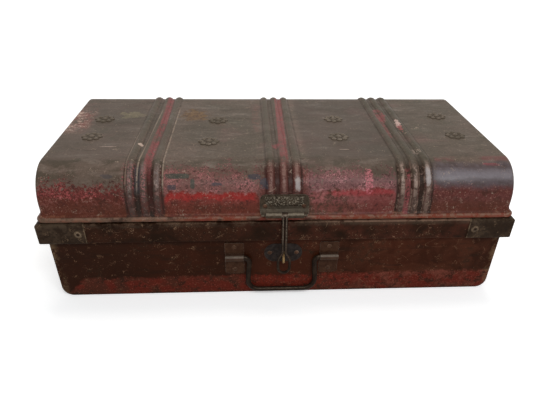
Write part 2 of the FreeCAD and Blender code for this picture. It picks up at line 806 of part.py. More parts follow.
def mitre_block(reach):
    """Block that keeps a front strip between its two 45 degree mitres."""
    inward = 4 * base_edge_radius
    outward = 2 * rim_overhang
    corners = [V(-reach + inward, -half_depth + inward, 0), V(reach - inward, -half_depth + inward, 0),
               V(reach + outward, -half_depth - outward, 0), V(-reach - outward, -half_depth - outward, 0)]
    outline = Part.Face(Part.makePolygon(corners + [corners[0]]))
    return outline.extrude(V(0, 0, lid_top))


def rim_strip(reach):
    """Rim strip along a front edge that reaches this far each way from the middle."""
    far = reach + rim_overhang
    strip = along_front(rim_section(), -far, far).common(mitre_block(reach))
    trims = []
    inner = reach - base_edge_radius - seam_gap
    notch = reach - neck_corner_notch
    y = -half_depth
    for side in (-1, 1):
        x_from, x_to = sorted((side * inner, side * reach))
        trims.append(box(x_from, x_to, y, y + 2 * base_edge_radius, 0, base_wall_top))
        x_from, x_to = sorted((side * notch, side * reach))
        trims.append(box(x_from, x_to, y, y + 2 * neck_corner_notch, rim_top, lid_top))
    return strip.cut(trims)


def rim_front():
    return rim_strip(half_length)


def rim_back():
    holes = [rivet_hole(p, Y_AXIS) for p in hinge_rivet_points(rim_overhang, hinge_rivet_height)]
    return drilled_for_caps(to_back(rim_strip(half_length)).cut(holes))


def rim_left():
    return drilled_for_caps(turned_to_left_end(rim_strip(half_depth)))


def drilled_for_caps(shape):
    return shape.cut([rivet_hole(p, outward) for p, outward in cap_rivet_points()])


def corner_cap_front_left():
    """Angle piece that wraps the rim over its corner joint."""
    out = rim_overhang + cap_sheet / 2
    top = rim_top + cap_sheet / 2
    low = rim_bottom - cap_sheet / 2
    bend = rim_outer_bend + (sheet + cap_sheet) / 2
    route = [(out - cap_top_width, top), (out, top), (out, low), (out - cap_bottom_width, low)]
    section = bent_sheet(route, [bend, bend], cap_sheet)
    far = half_length + rim_overhang + cap_sheet
    front = along_front(section, -far, -far + cap_length).common(mitre_block(half_length))
    side = half_depth + rim_overhang + cap_sheet
    end = along_front(section, side - cap_length_end, side).common(mitre_block(half_depth))
    cap = fused([front, turned_to_left_end(end)])
    return drilled_for_caps(cap)


# ---------------------------------------------------------------- back hinges
def hinge_ends(x):
    return in_pairs(x, hinge_width)


def hinge_barrel_radius():
    return hinge_pin_radius + hinge_fit + hinge_sheet


def hinge_bore(x, fit):
    return bar_x(hinge_pin_radius + fit, *hinge_ends(x), hinge_axis_out, hinge_axis_height)


def hinge_leaf_holes(out, height):
    """Rivet holes of a back leaf, drilled while the leaf still lies at the front."""
    return [rivet_hole(V(p.x, -p.y, p.z), Y_AXIS) for p in hinge_rivet_points(out, height)]


def base_hinge_leaf(x):
    """Leaf on the rim's outer wall, with a knuckle at each end of the barrel."""
    radius = hinge_barrel_radius()
    ends = hinge_ends(x)
    leaf = box(*ends, front_y(rim_overhang + hinge_sheet), front_y(rim_overhang),
               hinge_leaf_bottom, hinge_axis_height)
    barrel = bar_x(radius, *ends, hinge_axis_out, hinge_axis_height)
    gap = in_pairs(x, hinge_middle_knuckle + 2 * hinge_knuckle_play)
    room = bar_x(radius + hinge_knuckle_play, *gap, hinge_axis_out, hinge_axis_height)
    room_above = box(*gap, front_y(2 * hinge_axis_out), front_y(0), hinge_axis_height,
                     hinge_axis_height + radius)
    holes = hinge_leaf_holes(rim_overhang, hinge_rivet_height)
    leaf = fused([leaf, barrel]).cut([room, room_above, hinge_bore(x, 0)] + holes)
    return to_back(leaf)


def lid_hinge_leaf(x):
    """Leaf on the dome's back, passing over the bead to the middle knuckle."""
    radius = hinge_barrel_radius()
    sections = leaf_section(hinge_axis_out, hinge_axis_height, radius, hinge_sheet, hinge_leaf_top_angle, -1)
    sheets = [along_front(s, *hinge_ends(x)) for s in sections]
    knuckle = bar_x(radius, *in_pairs(x, hinge_middle_knuckle), hinge_axis_out, hinge_axis_height)
    room = []
    for end, side in zip(hinge_ends(x), (-1, 1)):
        inner = x + side * hinge_middle_knuckle / 2
        x_from, x_to = sorted((end, inner))
        room.append(bar_x(radius + hinge_leaf_clearance, x_from, x_to, hinge_axis_out, hinge_axis_height))
    leaf = fused([fused(sheets).cut(room), knuckle])
    leaf = leaf.cut([hinge_bore(x, hinge_fit)] + hinge_leaf_holes(0, lid_rivet_height))
    return to_back(leaf)


def hinge_pin(x):
    """Pin with a flat peened head against each end of the barrel."""
    left, right = hinge_ends(x)
    axis = (hinge_axis_out, hinge_axis_height)
    shank = bar_x(hinge_pin_radius, left, right, *axis)
    heads = [bar_x(hinge_pin_head_radius, left - hinge_pin_head, left, *axis),
             bar_x(hinge_pin_head_radius, right, right + hinge_pin_head, *axis)]
    return to_back(fused([shank] + heads))


# ---------------------------------------------------------------- groups of rivets
def fitting_rivets(points, outward, fitting_sheet):
    """Rivets through a fitting and the sheet behind it."""
    grip = fitting_sheet + sheet
    return [rivet(p + outward * fitting_sheet, outward, grip) for p in points]


def lid_rivets():
    rivets = fitting_rivets(hasp_rivet_points(), Y_AXIS * -1, hasp_sheet)
    rivets += fitting_rivets(hinge_rivet_points(0, lid_rivet_height), Y_AXIS, hinge_sheet)
    return Part.makeCompound(rivets)


def base_rivets():
    rivets = fitting_rivets(staple_rivet_points(), Y_AXIS * -1, staple_plate_sheet)
    rivets += fitting_rivets(bracket_rivet_points(), Y_AXIS * -1, bracket_sheet)
    rivets += fitting_rivets(hinge_rivet_points(rim_overhang, hinge_rivet_height), Y_AXIS, hinge_sheet)
    return Part.makeCompound(rivets)


def corner_cap_rivets():
    grip = cap_sheet + sheet
    return Part.makeCompound([rivet(p, outward, grip, True) for p, outward in cap_rivet_points()])


# ---------------------------------------------------------------- all pieces
def all_pieces():
    left_hinge, right_hinge = in_pairs(0, hinge_spacing)
    left_bracket, right_bracket = in_pairs(handle_shift, handle_spacing)
    end_left = lid_end_left()
    end_rim = rim_left()
    cap = corner_cap_front_left()
    return {
        "lid_dome_sheet": lid_dome_sheet(),
        "lid_end_left": end_left,
        "lid_end_right": to_right(end_left),
        "lid_edge_wire": lid_edge_wire(),
        "lid_rosettes": lid_rosettes(),
        "hasp_plate": hasp_plate(),
        "hasp_pin": hasp_pin(),
        "hasp_arm": hasp_arm(),
        "lid_hinge_leaf_left": lid_hinge_leaf(left_hinge),
        "lid_hinge_leaf_right": lid_hinge_leaf(right_hinge),
        "lid_rivets": lid_rivets(),
        "base_wrap_sheet": base_wrap_sheet(),
        "base_front_panel": base_front_panel(),
        "base_back_panel": to_back(base_panel()),
        "rim_front": drilled_for_caps(rim_front()),
        "rim_back": rim_back(),
        "rim_left": end_rim,
        "rim_right": to_right(end_rim),
        "corner_cap_front_left": cap,
        "corner_cap_front_right": to_right(cap),
        "corner_cap_back_left": to_back(cap),
        "corner_cap_back_right": to_back(to_right(cap)),
        "corner_cap_rivets": corner_cap_rivets(),
        "staple_plate": staple_plate(),
        "hasp_staple": hasp_staple(),
        "handle_bracket_left": handle_bracket(left_bracket),
        "handle_bracket_right": handle_bracket(right_bracket),
        "bail_handle": bail_handle(),
        "base_hinge_leaf_left": base_hinge_leaf(left_hinge),
        "base_hinge_leaf_right": base_hinge_leaf(right_hinge),
        "base_rivets": base_rivets(),
        "hinge_pin_left": hinge_pin(left_hinge),
        "hinge_pin_right": hinge_pin(right_hinge),
    }


os.makedirs("parts", exist_ok=True)
for name, shape in all_pieces().items():
    shape.exportStep("parts/" + name + ".step")
    print(name, len(shape.Solids), "valid" if shape.isValid() else "NOT VALID", round(shape.Volume))
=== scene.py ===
# %% [markdown]
# # Dome top trunk of painted sheet steel
# The trunk is already built as a set of real pieces: sheets, rods, rivets and hinges.
# This lesson loads those pieces, gives each one a finish with the wear of a long life,
# and sets up a camera and soft light to look at it.

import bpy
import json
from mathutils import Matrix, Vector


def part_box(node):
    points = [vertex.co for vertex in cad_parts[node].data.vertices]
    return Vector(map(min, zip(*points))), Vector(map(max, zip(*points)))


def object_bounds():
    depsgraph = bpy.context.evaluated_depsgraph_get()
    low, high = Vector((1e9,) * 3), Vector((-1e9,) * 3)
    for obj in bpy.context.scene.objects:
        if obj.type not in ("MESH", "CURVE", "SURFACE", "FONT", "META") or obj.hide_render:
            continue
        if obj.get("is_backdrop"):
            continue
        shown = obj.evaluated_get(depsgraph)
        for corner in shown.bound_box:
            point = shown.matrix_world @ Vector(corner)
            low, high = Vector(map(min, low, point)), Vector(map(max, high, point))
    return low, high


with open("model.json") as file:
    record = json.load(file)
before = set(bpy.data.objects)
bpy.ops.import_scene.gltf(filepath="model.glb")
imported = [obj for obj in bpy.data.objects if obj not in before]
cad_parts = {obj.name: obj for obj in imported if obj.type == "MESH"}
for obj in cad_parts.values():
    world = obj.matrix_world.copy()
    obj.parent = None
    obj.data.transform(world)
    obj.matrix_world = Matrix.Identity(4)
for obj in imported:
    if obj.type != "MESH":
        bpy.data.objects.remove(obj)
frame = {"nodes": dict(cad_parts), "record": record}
cad_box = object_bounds()
nodes = frame["nodes"]

# %% [markdown]
# ## Sizes to paint by
# Wear sits in real places: along an edge, on a round, under a strap. The finishes could hold
# those places as loose numbers, but most of them follow from a few sizes of the trunk, so
# these are read from its pieces and kept in millimetres, as a maker would measure them.

# %% Sizes of the trunk
MM = 0.001
MM_PER_METRE = 1000
half_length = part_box("base_wrap_sheet")[1].x / MM
half_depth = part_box("base_wrap_sheet")[1].y / MM
lid_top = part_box("lid_rosettes")[0].z / MM
dome_radius = 54.0
dome_spring = lid_top - dome_radius
flat_half = half_depth - dome_radius
print("half length", round(half_length, 1), "half depth", round(half_depth, 1), "lid top", round(lid_top, 1))

# %% [markdown]
# ## Camera
# The trunk is seen from close by and half a metre up, a little left of its middle, so the
# lens looks down at it. A camera can be aimed with a constraint, but it also leans a little
# here, so it is turned by a matrix whose columns are its own axes: right, up and back. The
# frame's middle isn't where the lens points. A small shift of the lens makes that difference,
# and unlike a turn of the camera it keeps the lean of the trunk's walls.

# %% Camera
import math
import bpy
from mathutils import Matrix, Vector

image_width = 550
focal_px = 494.8
lens_centre_px = (3.2, 55.6)
camera_place = Vector((-49.7, -866.6, 537.7)) * MM
heading, tilt, lean = math.radians(4.0), math.radians(-35.2), math.radians(1.3)

ahead = Vector((math.sin(heading) * math.cos(tilt), math.cos(heading) * math.cos(tilt), math.sin(tilt)))
level = Vector((math.cos(heading), -math.sin(heading), 0))
above = level.cross(ahead)
right = level * math.cos(lean) + above * math.sin(lean)
up = above * math.cos(lean) - level * math.sin(lean)

camera_data = bpy.data.cameras.new("camera")
camera_data.sensor_width = 36.0
camera_data.lens = focal_px / image_width * camera_data.sensor_width
camera_data.shift_x = -lens_centre_px[0] / image_width
camera_data.shift_y = lens_centre_px[1] / image_width
camera_data.clip_start = 0.01
camera_data.clip_end = 30.0
camera = bpy.data.objects.new("camera", camera_data)
turn = Matrix((right, up, -ahead)).transposed().to_4x4()
camera.matrix_world = Matrix.Translation(camera_place) @ turn
bpy.context.scene.collection.objects.link(camera)
bpy.context.scene.camera = camera
print("lens", round(camera_data.lens, 2), "mm")

# %% [markdown]
# ## Writing finishes as sums
# A finish is a small program that runs at every point of a surface. Written with nodes by
# hand it soon turns into a web, so a number that varies over the surface gets a class of
# its own: adding, multiplying or comparing such numbers adds the Math node behind the
# scenes. Every node, of any type, is made by one method, which sets the node up first and
# then links or fills its sockets.

# %% One way to add a node
class Recipe:
    """A tree of nodes, with the one method that adds a node to it."""

    def __init__(self, tree):
        self.tree = tree

    def feed(self, socket, value):
        """Link a value that varies to a socket, or set a plain one on it."""
        if isinstance(value, Amount):
            self.tree.links.new(value.socket, socket)
        else:
            socket.default_value = value

    def node(self, kind, settings={}, inputs={}, out=0):
        """Add a node of a type: first its settings, then its inputs. Gives one of its outputs."""
        made = self.tree.nodes.new(kind)
        for name, value in settings.items():
            setattr(made, name, value)
        for name, value in inputs.items():
            self.feed(made.inputs[name], value)
        return Amount(self, made.outputs[out]) if made.outputs else made


print("every node is made by", Recipe.node.__qualname__)


# %% Numbers that vary over a surface
class Amount:
    """A number that varies over a surface. Python's operators add Math nodes to it."""

    def __init__(self, recipe, socket):
        self.recipe = recipe
        self.socket = socket

    def join(self, operation, *others, swapped=False, clamped=False):
        """Add a Math node that works on this number and the others, in turn or swapped."""
        values = (self, *others)
        values = values[::-1] if swapped else values
        settings = {"operation": operation, "use_clamp": clamped}
        return self.recipe.node("ShaderNodeMath", settings, dict(enumerate(values)))

    def __add__(self, other):
        return self.join("ADD", other)

    def __sub__(self, other):
        return self.join("SUBTRACT", other)

    def __mul__(self, other):
        return self.join("MULTIPLY", other)

    def __truediv__(self, other):
        return self.join("DIVIDE", other)

    def __mod__(self, other):
        return self.join("FLOORED_MODULO", other)

    def __rsub__(self, other):
        return self.join("SUBTRACT", other, swapped=True)

    def __abs__(self):
        return self.join("ABSOLUTE")

    __radd__ = __add__
    __rmul__ = __mul__

    def root(self):
        return self.join("POWER", 0.5)

    def least(self, other):
        return self.join("MINIMUM", other)

    def most(self, other):
        return self.join("MAXIMUM", other)

    def limited(self):
        """The same number, kept between 0 and 1."""
        return self.join("ADD", 0.0, clamped=True)

    def rise(self, start, full):
        """0 before start, 1 after full, and a smooth rise or fall between."""
        ends = {"Value": self, "From Min": min(start, full), "From Max": max(start, full)}
        risen = self.recipe.node("ShaderNodeMapRange", {"interpolation_type": "SMOOTHSTEP"}, ends, "Result")
        return risen if start < full else 1 - risen

    def between(self, low, high, soft):
        """1 from low to high, with edges that fade over soft on either side."""
        return self.rise(low - soft, low + soft) * self.rise(high + soft, high - soft)


print("ready to join numbers by + - * / % abs, least, most, rise and between")


# %% [markdown]
# ## A finish
# Each finish is one material. Places in it are those of the trunk itself, in millimetres, so
# wear stays on the spot that it belongs to when the lid opens. A texture could be painted on
# unrolled sheets instead, but noise that is worked out in space needs no unrolling, and it
# runs over an edge without a seam. Colours are written as on a paint chart, 0 to 255.

# %% Colours
def paint(red, green, blue):
    """A colour as a paint chart gives it, 0 to 255, turned into light values."""
    light = []
    for part in (red, green, blue):
        share = part / 255
        light.append(share / 12.92 if share <= 0.04045 else ((share + 0.055) / 1.055) ** 2.4)
    return (*light, 1.0)


print("middle grey on the chart is", [round(light, 3) for light in paint(128, 128, 128)])


# %% A surface with a place, colours and a shader
class Surface(Recipe):
    """One material, with the surface's own place as x, y and z in millimetres."""

    def __init__(self, name):
        self.material = bpy.data.materials.new(name)
        self.material.use_nodes = True
        super().__init__(self.material.node_tree)
        self.shader = self.tree.nodes["Principled BSDF"]
        self.place = self.node("ShaderNodeTexCoord", out="Object")
        self.x, self.y, self.z = (self.part(self.place, axis) * MM_PER_METRE for axis in range(3))

    def part(self, vector, axis):
        """One of a vector's three numbers: 0 is x, 1 is y and 2 is z."""
        return self.node("ShaderNodeSeparateXYZ", inputs={0: vector}, out=axis)

    def vector(self, operation, first, second, out=0):
        """Vector Math on two vectors, each linked or plain."""
        return self.node("ShaderNodeVectorMath", {"operation": operation}, {0: first, 1: second}, out)

    def mix(self, under, over, amount):
        """Colour over covers colour under where amount is 1."""
        settings = {"data_type": "RGBA", "clamp_factor": True}
        factor, first_colour, second_colour, mixed_colour = 0, 6, 7, 2
        inputs = {factor: amount, first_colour: under, second_colour: over}
        return self.node("ShaderNodeMix", settings, inputs, mixed_colour)

    def finish(self, colour, roughness, height, metallic=0.0, gloss=0.05, coat=0.0, coat_roughness=0.3):
        """height is the relief in millimetres, gloss is how much the bare surface mirrors."""
        bump = self.node("ShaderNodeBump", {}, {"Strength": 1.0, "Distance": MM, "Height": height})
        surface = {"Base Color": colour, "Roughness": roughness, "Metallic": metallic, "Normal": bump,
                   "Specular IOR Level": gloss, "Coat Weight": coat, "Coat Roughness": coat_roughness}
        for name, value in surface.items():
            self.feed(self.shader.inputs[name], value)
        print(self.material.name, "is made of", len(self.tree.nodes), "nodes")
        return self.material


finishes = {}
print("materials so far:", len(bpy.data.materials))


# %% Noise, hair lines, insides and edges
hair_core = 0.3
edge_samples = 6


class Finish(Surface):
    """A surface with the noises and places that wear follows."""

    def noise(self, size, detail=2.0, stretch=(1, 1, 1), seed=0.0, warp=0.0, rough=0.55):
        """Cloudy noise, 0 to 1 with its middle at 0.5. size is its grain in millimetres."""
        spot = self.vector("MULTIPLY", self.place, [MM_PER_METRE / (size * share) for share in stretch])
        spot = self.vector("ADD", spot, (seed, seed * 1.7, seed * 0.6))
        look = {"Scale": 1.0, "Detail": detail, "Roughness": rough, "Distortion": warp}
        return self.node("ShaderNodeTexNoise", {}, {"Vector": spot, **look})

    def hairs(self, size, width, stretch=(1, 1, 1), seed=0.0, warp=1.0):
        """Thin wandering lines, where a cloudy noise passes through its middle."""
        return abs(self.noise(size, 1.0, stretch, seed, warp) - 0.5).rise(width, width * hair_core)

    def inner_side(self, middle_height, half_height):
        """1 on the side of a sheet that faces the inside of the trunk, 0 on the outside."""
        facing_out = 0.0
        normal = self.node("ShaderNodeTexCoord", out="Normal")
        reached = (self.x / half_length, self.y / half_depth, (self.z - middle_height) / half_height)
        for axis, share in enumerate(reached):
            facing_out = self.part(normal, axis) * share + facing_out
        return facing_out.rise(0.05, -0.05)

    def edges(self, radius):
        """1 on the sharp edges and corners of a solid, out to about radius millimetres."""
        rounded = self.node("ShaderNodeBevel", {"samples": edge_samples}, {"Radius": radius * MM})
        flat = self.node("ShaderNodeNewGeometry", out="Normal")
        same = self.vector("DOT_PRODUCT", rounded, flat, "Value")
        return (1 - same).rise(0.01, 0.16)


print("the core of a hair line is", hair_core, "of its width")
print("an edge is looked up", edge_samples, "times at each point")


# %% [markdown]
# ## Where things are on the lid
# Wear on the lid follows its shape. The flat top was rubbed grey, the big front round kept
# half of its red, and the wall below kept most of it. Height alone can't tell these apart,
# because the top is level, so one number does: how far a point lies from the ridge line when
# the curved sheet is rolled out flat. A second pair of numbers tells how far a point is from
# the nearest pressed rib, and whether it is inside a group of ribs at all.

# %% Rolled-out place
quarter_round = dome_radius * math.pi / 2
spring_roll = flat_half + quarter_round
end_panel_stretch = 1.6


def rolled_out(f):
    """Distance over the sheet from the lid's middle line, and 1 on the two end panels."""
    depth = abs(f.y)
    angle = (f.z - dome_spring).join("ARCTAN2", depth - flat_half) * (180 / math.pi)
    around = (90 - angle).most(0.0).least(90.0) * (quarter_round / 90)
    over_top = depth.least(flat_half)
    down_wall = (dome_spring - f.z).most(0.0)
    on_sheet = over_top + around + down_wall
    on_end = flat_half + (lid_top - f.z) * end_panel_stretch
    at_end = abs(f.x).rise(half_length - 4, half_length - 1)
    return on_sheet * (1 - at_end) + on_end * at_end, at_end


print("the round starts", round(flat_half, 1), "mm from the ridge and ends at", round(spring_roll, 1))

# %% Ribs and panels
rib_pitch = 20.0
rib_foot = 8.2
rib_groups = (-207.0, 4.0, 207.0)
panel_joints = (-238.0, -178.0, -34.0, 42.0, 180.0, 238.0)
panel_joint_soft = 7.0


def near_ribs(f):
    """Distance from the nearest crest, and 1 inside the groups of ribs."""
    away = [abs(f.x - group) for group in rib_groups]
    nearest = away[0].least(away[1]).least(away[2])
    from_crest = abs((nearest + rib_pitch / 2) % rib_pitch - rib_pitch / 2)
    return from_crest, nearest.rise(31, 27)


def by_panel(f, values):
    """A number or colour for each panel and each group of ribs, in turn from the left."""
    result = values[0]
    for joint, before, after in zip(panel_joints, values, values[1:]):
        past = f.x.rise(joint - panel_joint_soft, joint + panel_joint_soft)
        result = f.mix(result, after, past) if isinstance(after, tuple) else past * (after - before) + result
    return result


def by_group(f, left, middle, right):
    """A colour for the left, the middle and the right group of ribs."""
    return f.mix(f.mix(left, middle, f.x.rise(-110, -90)), right, f.x.rise(110, 130))


def beside(f, x, core, reach):
    """1 within core millimetres of the line at x, sideways, and 0 beyond reach."""
    return abs(f.x - x).rise(reach, core)


print("ribs in groups at", rib_groups, "mm, with panels between the joints at", panel_joints)

# %% [markdown]
# ## Ragged patches
# Old labels, knocks and drips leave spots whose middle and size can be told, and whose edge
# can't. An oval drawn by a formula would look stamped on, so noise is added to it before it
# is cut off, and the edge breaks up. On the round the same is done over the rolled-out sheet.

# %% Spots on the top and patches on the round
def spot(f, x, y, half_x, half_y, ragged=1.2, grain=6.0, seed=2.0):
    """A ragged oval on the flat top, by its place from above."""
    across = (f.x - x) / half_x
    along = (f.y - y) / half_y
    broken = (f.noise(grain, 4.0, seed=seed, rough=0.7) - 0.5) * ragged * 2
    inside = 1 - across * across - along * along + broken
    return inside.rise(0.0, 0.5) * f.z.rise(lid_top - 8, lid_top - 4)


def patch(f, x, down, half_x, half_down, ragged, seed, grain=4.0):
    """A ragged patch on the front of the lid, by its middle and half sizes over the sheet."""
    across = (f.x - x) / half_x
    along = (f.roll - down) / half_down
    inside = 1 - across * across * across * across - along * along * along * along
    inside = inside + (f.noise(grain, 4.0, seed=seed, rough=0.75) - 0.5) * ragged * 3
    return inside.rise(0.0, 0.5) * f.y.rise(1.0, -1.0)


print("spots lie on the top, above", round(lid_top - 8, 1), "mm")


# %% [markdown]
# ## Paint of the lid
# Old enamel wears from the top down. Here the layers are, from the metal outwards: a grey
# brown ground where the colour has gone, red paint that breaks up into specks and hooks on
# the round, whole red low on the front where nothing rubs it, dust and rust in the hollow
# above the bead, and last the pale scratches. Each layer is a colour with an amount, and
# noise decides how its edge breaks up. All layers share the same few noises, so that their
# edges agree, as they do on one worn sheet.

# %% What the lid's layers share
class LidFinish(Finish):
    """A finish that knows where it is on the lid, with the noises that its layers share."""

    def __init__(self, name):
        super().__init__(name)
        self.roll, self.at_end = rolled_out(self)
        self.from_crest, self.in_ribs = near_ribs(self)
        self.crest = self.from_crest.rise(6.5, 2.5) * self.in_ribs
        self.foot = abs(self.from_crest - rib_foot).rise(2.6, 0.8) * self.in_ribs
        self.front = self.y.rise(1, -1)
        self.low = self.roll.rise(152, 176)
        self.cloud = self.noise(170, 3.0, seed=3.1)
        self.patches = self.noise(40, 4.0, seed=7.7, warp=0.5)
        self.grain = self.noise(9.0, 4.0, seed=1.3, rough=0.75)
        self.grit = self.noise(3.8, 3.0, seed=2.2, rough=0.8)
        self.fine = self.noise(2.4, 2.0, seed=5.2, rough=0.7)
        self.streaks = self.noise(24, 4.0, stretch=(2.6, 1, 1), seed=2.4, warp=0.6, rough=0.7)


print("noises, coarse to fine: cloud 170, patches 40, streaks 24, grain 9, grit 3.8, fine 2.4 mm")


# %% Ground, where the paint has gone
grime_starts, grime_ends = (146, 152), (205, 170)
grime_share = (0.7, 0.7, 0.5, 0.7, 0.45, 0.7, 0.6)
soot_share = (0.30, 0.0, 0.06, 0.0, 0.46, 0.06, 0.08)


def bare_ground(f):
    """Grey brown of the top, darker where grime has settled at the start of the round."""
    colour = f.mix(paint(83, 73, 62), paint(98, 83, 73), f.cloud.rise(0.38, 0.62))
    colour = f.mix(colour, paint(76, 70, 56), f.patches.rise(0.52, 0.72) * 0.6)
    colour = f.mix(colour, paint(106, 80, 73), f.noise(75, 3.0, seed=11.0).rise(0.52, 0.70) * 0.55)
    colour = f.mix(colour, paint(66, 59, 50), f.streaks.rise(0.52, 0.72) * 0.55)
    colour = f.mix(colour, paint(126, 114, 104), f.streaks.rise(0.47, 0.28) * 0.45)
    colour = f.mix(colour, paint(60, 55, 45), f.grit.rise(0.54, 0.66) * 0.42)
    colour = f.mix(colour, paint(122, 104, 94), f.grit.rise(0.45, 0.34) * 0.42)
    grime = f.roll.rise(*grime_starts) * f.roll.rise(*grime_ends)
    grime = grime * (f.streaks + f.patches - 0.5).rise(0.36, 0.60)
    colour = f.mix(colour, paint(66, 59, 48), grime * by_panel(f, grime_share))
    colour = f.mix(colour, paint(68, 64, 52), f.crest * 0.45)
    colour = f.mix(colour, paint(50, 43, 35), f.foot * (0.45 + (f.grain - 0.5) * 1.2).limited())
    old_red = spot(f, -34, 30, 8, 80, ragged=1.6, grain=12.0) * f.grain.rise(0.44, 0.56)
    colour = f.mix(colour, paint(116, 78, 71), old_red * 0.3)
    colour = f.mix(colour, paint(66, 58, 51), by_panel(f, soot_share) * f.roll.rise(165, 140))
    right_edge = f.roll.between(144, 158, 4) * f.x.rise(234, 246) * f.front
    return f.mix(colour, paint(112, 72, 70), right_edge * f.patches.rise(0.46, 0.56) * 0.6)


print("grime is thickest from", grime_starts[1], "to", grime_ends[1], "mm from the ridge")


# %% Where the red reaches, for each panel and group of ribs in turn from the left
red_from = (180.0, 176.0, 140.0, 150.0, 156.0, 166.0, 192.0)
red_full = (214.0, 236.0, 210.0, 218.0, 208.0, 222.0, 208.0)
whole_red_from = (214.0, 226.0, 208.0, 226.0, 205.0, 226.0, 205.0)


def red_reach(f):
    """How much broken red shows, how much whole red, and where the whole red starts."""
    start = by_panel(f, red_from)
    full = by_panel(f, red_full)
    reached = (f.roll - start) / (full - start)
    worn = reached + (f.patches - 0.5) * 1.4 + (f.grain - 0.5) * 1.1 + (f.grit - 0.5) * 2.2
    solid_from = by_panel(f, whole_red_from)
    past = f.roll - solid_from + (f.patches - 0.5) * 22 + (f.grain - 0.5) * 18 + (f.grit - 0.5) * 14
    return worn.rise(0.30, 0.62), past.rise(-3, 3), solid_from


print("red starts", min(red_from), "to", max(red_from), "mm from the ridge")

# %% Broken red of the round
dull_reds = (paint(92, 43, 38), paint(82, 48, 42), paint(108, 74, 68), paint(88, 50, 44),
             paint(112, 74, 73), paint(80, 42, 38), paint(92, 46, 40))
pinks = (paint(172, 84, 84), paint(150, 92, 88), paint(168, 104, 104), paint(150, 96, 92),
         paint(186, 126, 128), paint(140, 76, 76), paint(130, 80, 76))


def broken_red(f):
    """Dull red of the round, crossed by fine pink and dark grains."""
    colour = by_panel(f, dull_reds)
    colour = f.mix(colour, paint(62, 46, 40), (f.grain * 0.6 + f.grit * 0.6).rise(0.62, 0.70) * 0.8)
    pinkness = f.noise(34, 3.0, seed=4.0).rise(0.36, 0.60)
    grains = f.grit.rise(0.46, 0.36).most(f.hairs(7.0, 0.05, seed=6.0, warp=1.6)) * pinkness
    return f.mix(colour, by_panel(f, pinks), grains * 0.8)


print("dull reds and pinks for", len(dull_reds), "stretches of the lid")

# %% Whole red low on the front
whole_reds = (paint(88, 42, 32), paint(72, 34, 26), paint(115, 51, 44), paint(84, 42, 32),
              paint(134, 78, 76), paint(60, 34, 25), paint(86, 45, 40))
net_share = (0.30, 0.2, 0.17, 0.4, 0.50, 0.2, 0.20)
crumb_share = (1.0, 0.8, 1.1, 0.8, 1.15, 0.8, 0.65)


def clear_red(f, solid_from):
    """Whole red below, brown towards the bead, with two bright lines where it starts."""
    colour = by_panel(f, whole_reds)
    colour = f.mix(colour, paint(58, 34, 25), f.noise(20, 4.0, seed=15.0, rough=0.65).rise(0.48, 0.62) * 0.65)
    colour = f.mix(colour, paint(116, 50, 44), (f.patches * 0.5 + f.grit * 0.6).rise(0.60, 0.70) * 0.5)
    net = f.hairs(8.0, 0.04, seed=31.0, warp=1.4).most(f.grit.rise(0.42, 0.34))
    net = net * f.noise(30, 3.0, seed=33.0).rise(0.42, 0.58)
    colour = f.mix(colour, paint(158, 104, 98), net * by_panel(f, net_share))
    left_line = (f.roll - solid_from + (f.patches - 0.5) * 22 + (f.grit - 0.5) * 14).between(0, 11, 3)
    colour = f.mix(colour, paint(146, 43, 40), left_line * f.x.between(-176, -40, 4) * 0.8)
    to_bead = f.roll.rise(spring_roll - 8, spring_roll + 5)
    colour = f.mix(colour, paint(82, 41, 27), to_bead * (0.4 + f.grain * 0.5))
    colour = f.mix(colour, paint(140, 84, 68), f.fine.rise(0.58, 0.66) * f.patches.rise(0.42, 0.56) * 0.35)
    colour = f.mix(colour, paint(100, 46, 42), f.x.between(130, 178, 16) * f.front * 0.7)
    right_line = (f.roll + (f.patches - 0.5) * 14 + (f.grit - 0.5) * 8).between(206, 214, 3)
    colour = f.mix(colour, paint(144, 56, 58), right_line * f.x.between(74, 174, 8) * f.front * 0.75)
    by_hasp = beside(f, 66, 20, 48) * f.front * (f.patches * 0.5 + f.grain * 0.8).rise(0.58, 0.72)
    return f.mix(colour, paint(66, 50, 38), by_hasp * 0.8)


def crumbled(f, colour, red, solid):
    """Dark and pale grains where the red crumbles."""
    crumbs = f.grain * 0.5 + f.grit * 0.7
    share = by_panel(f, crumb_share)
    colour = f.mix(colour, paint(42, 24, 20), crumbs.rise(0.59, 0.78) * (red * 0.36 + solid * 0.24) * share)
    return f.mix(colour, paint(200, 144, 136), crumbs.rise(0.54, 0.44) * (red * 0.25 - solid * 0.15) * share)


print("whole red starts", min(whole_red_from), "to", max(whole_red_from), "mm from the ridge")
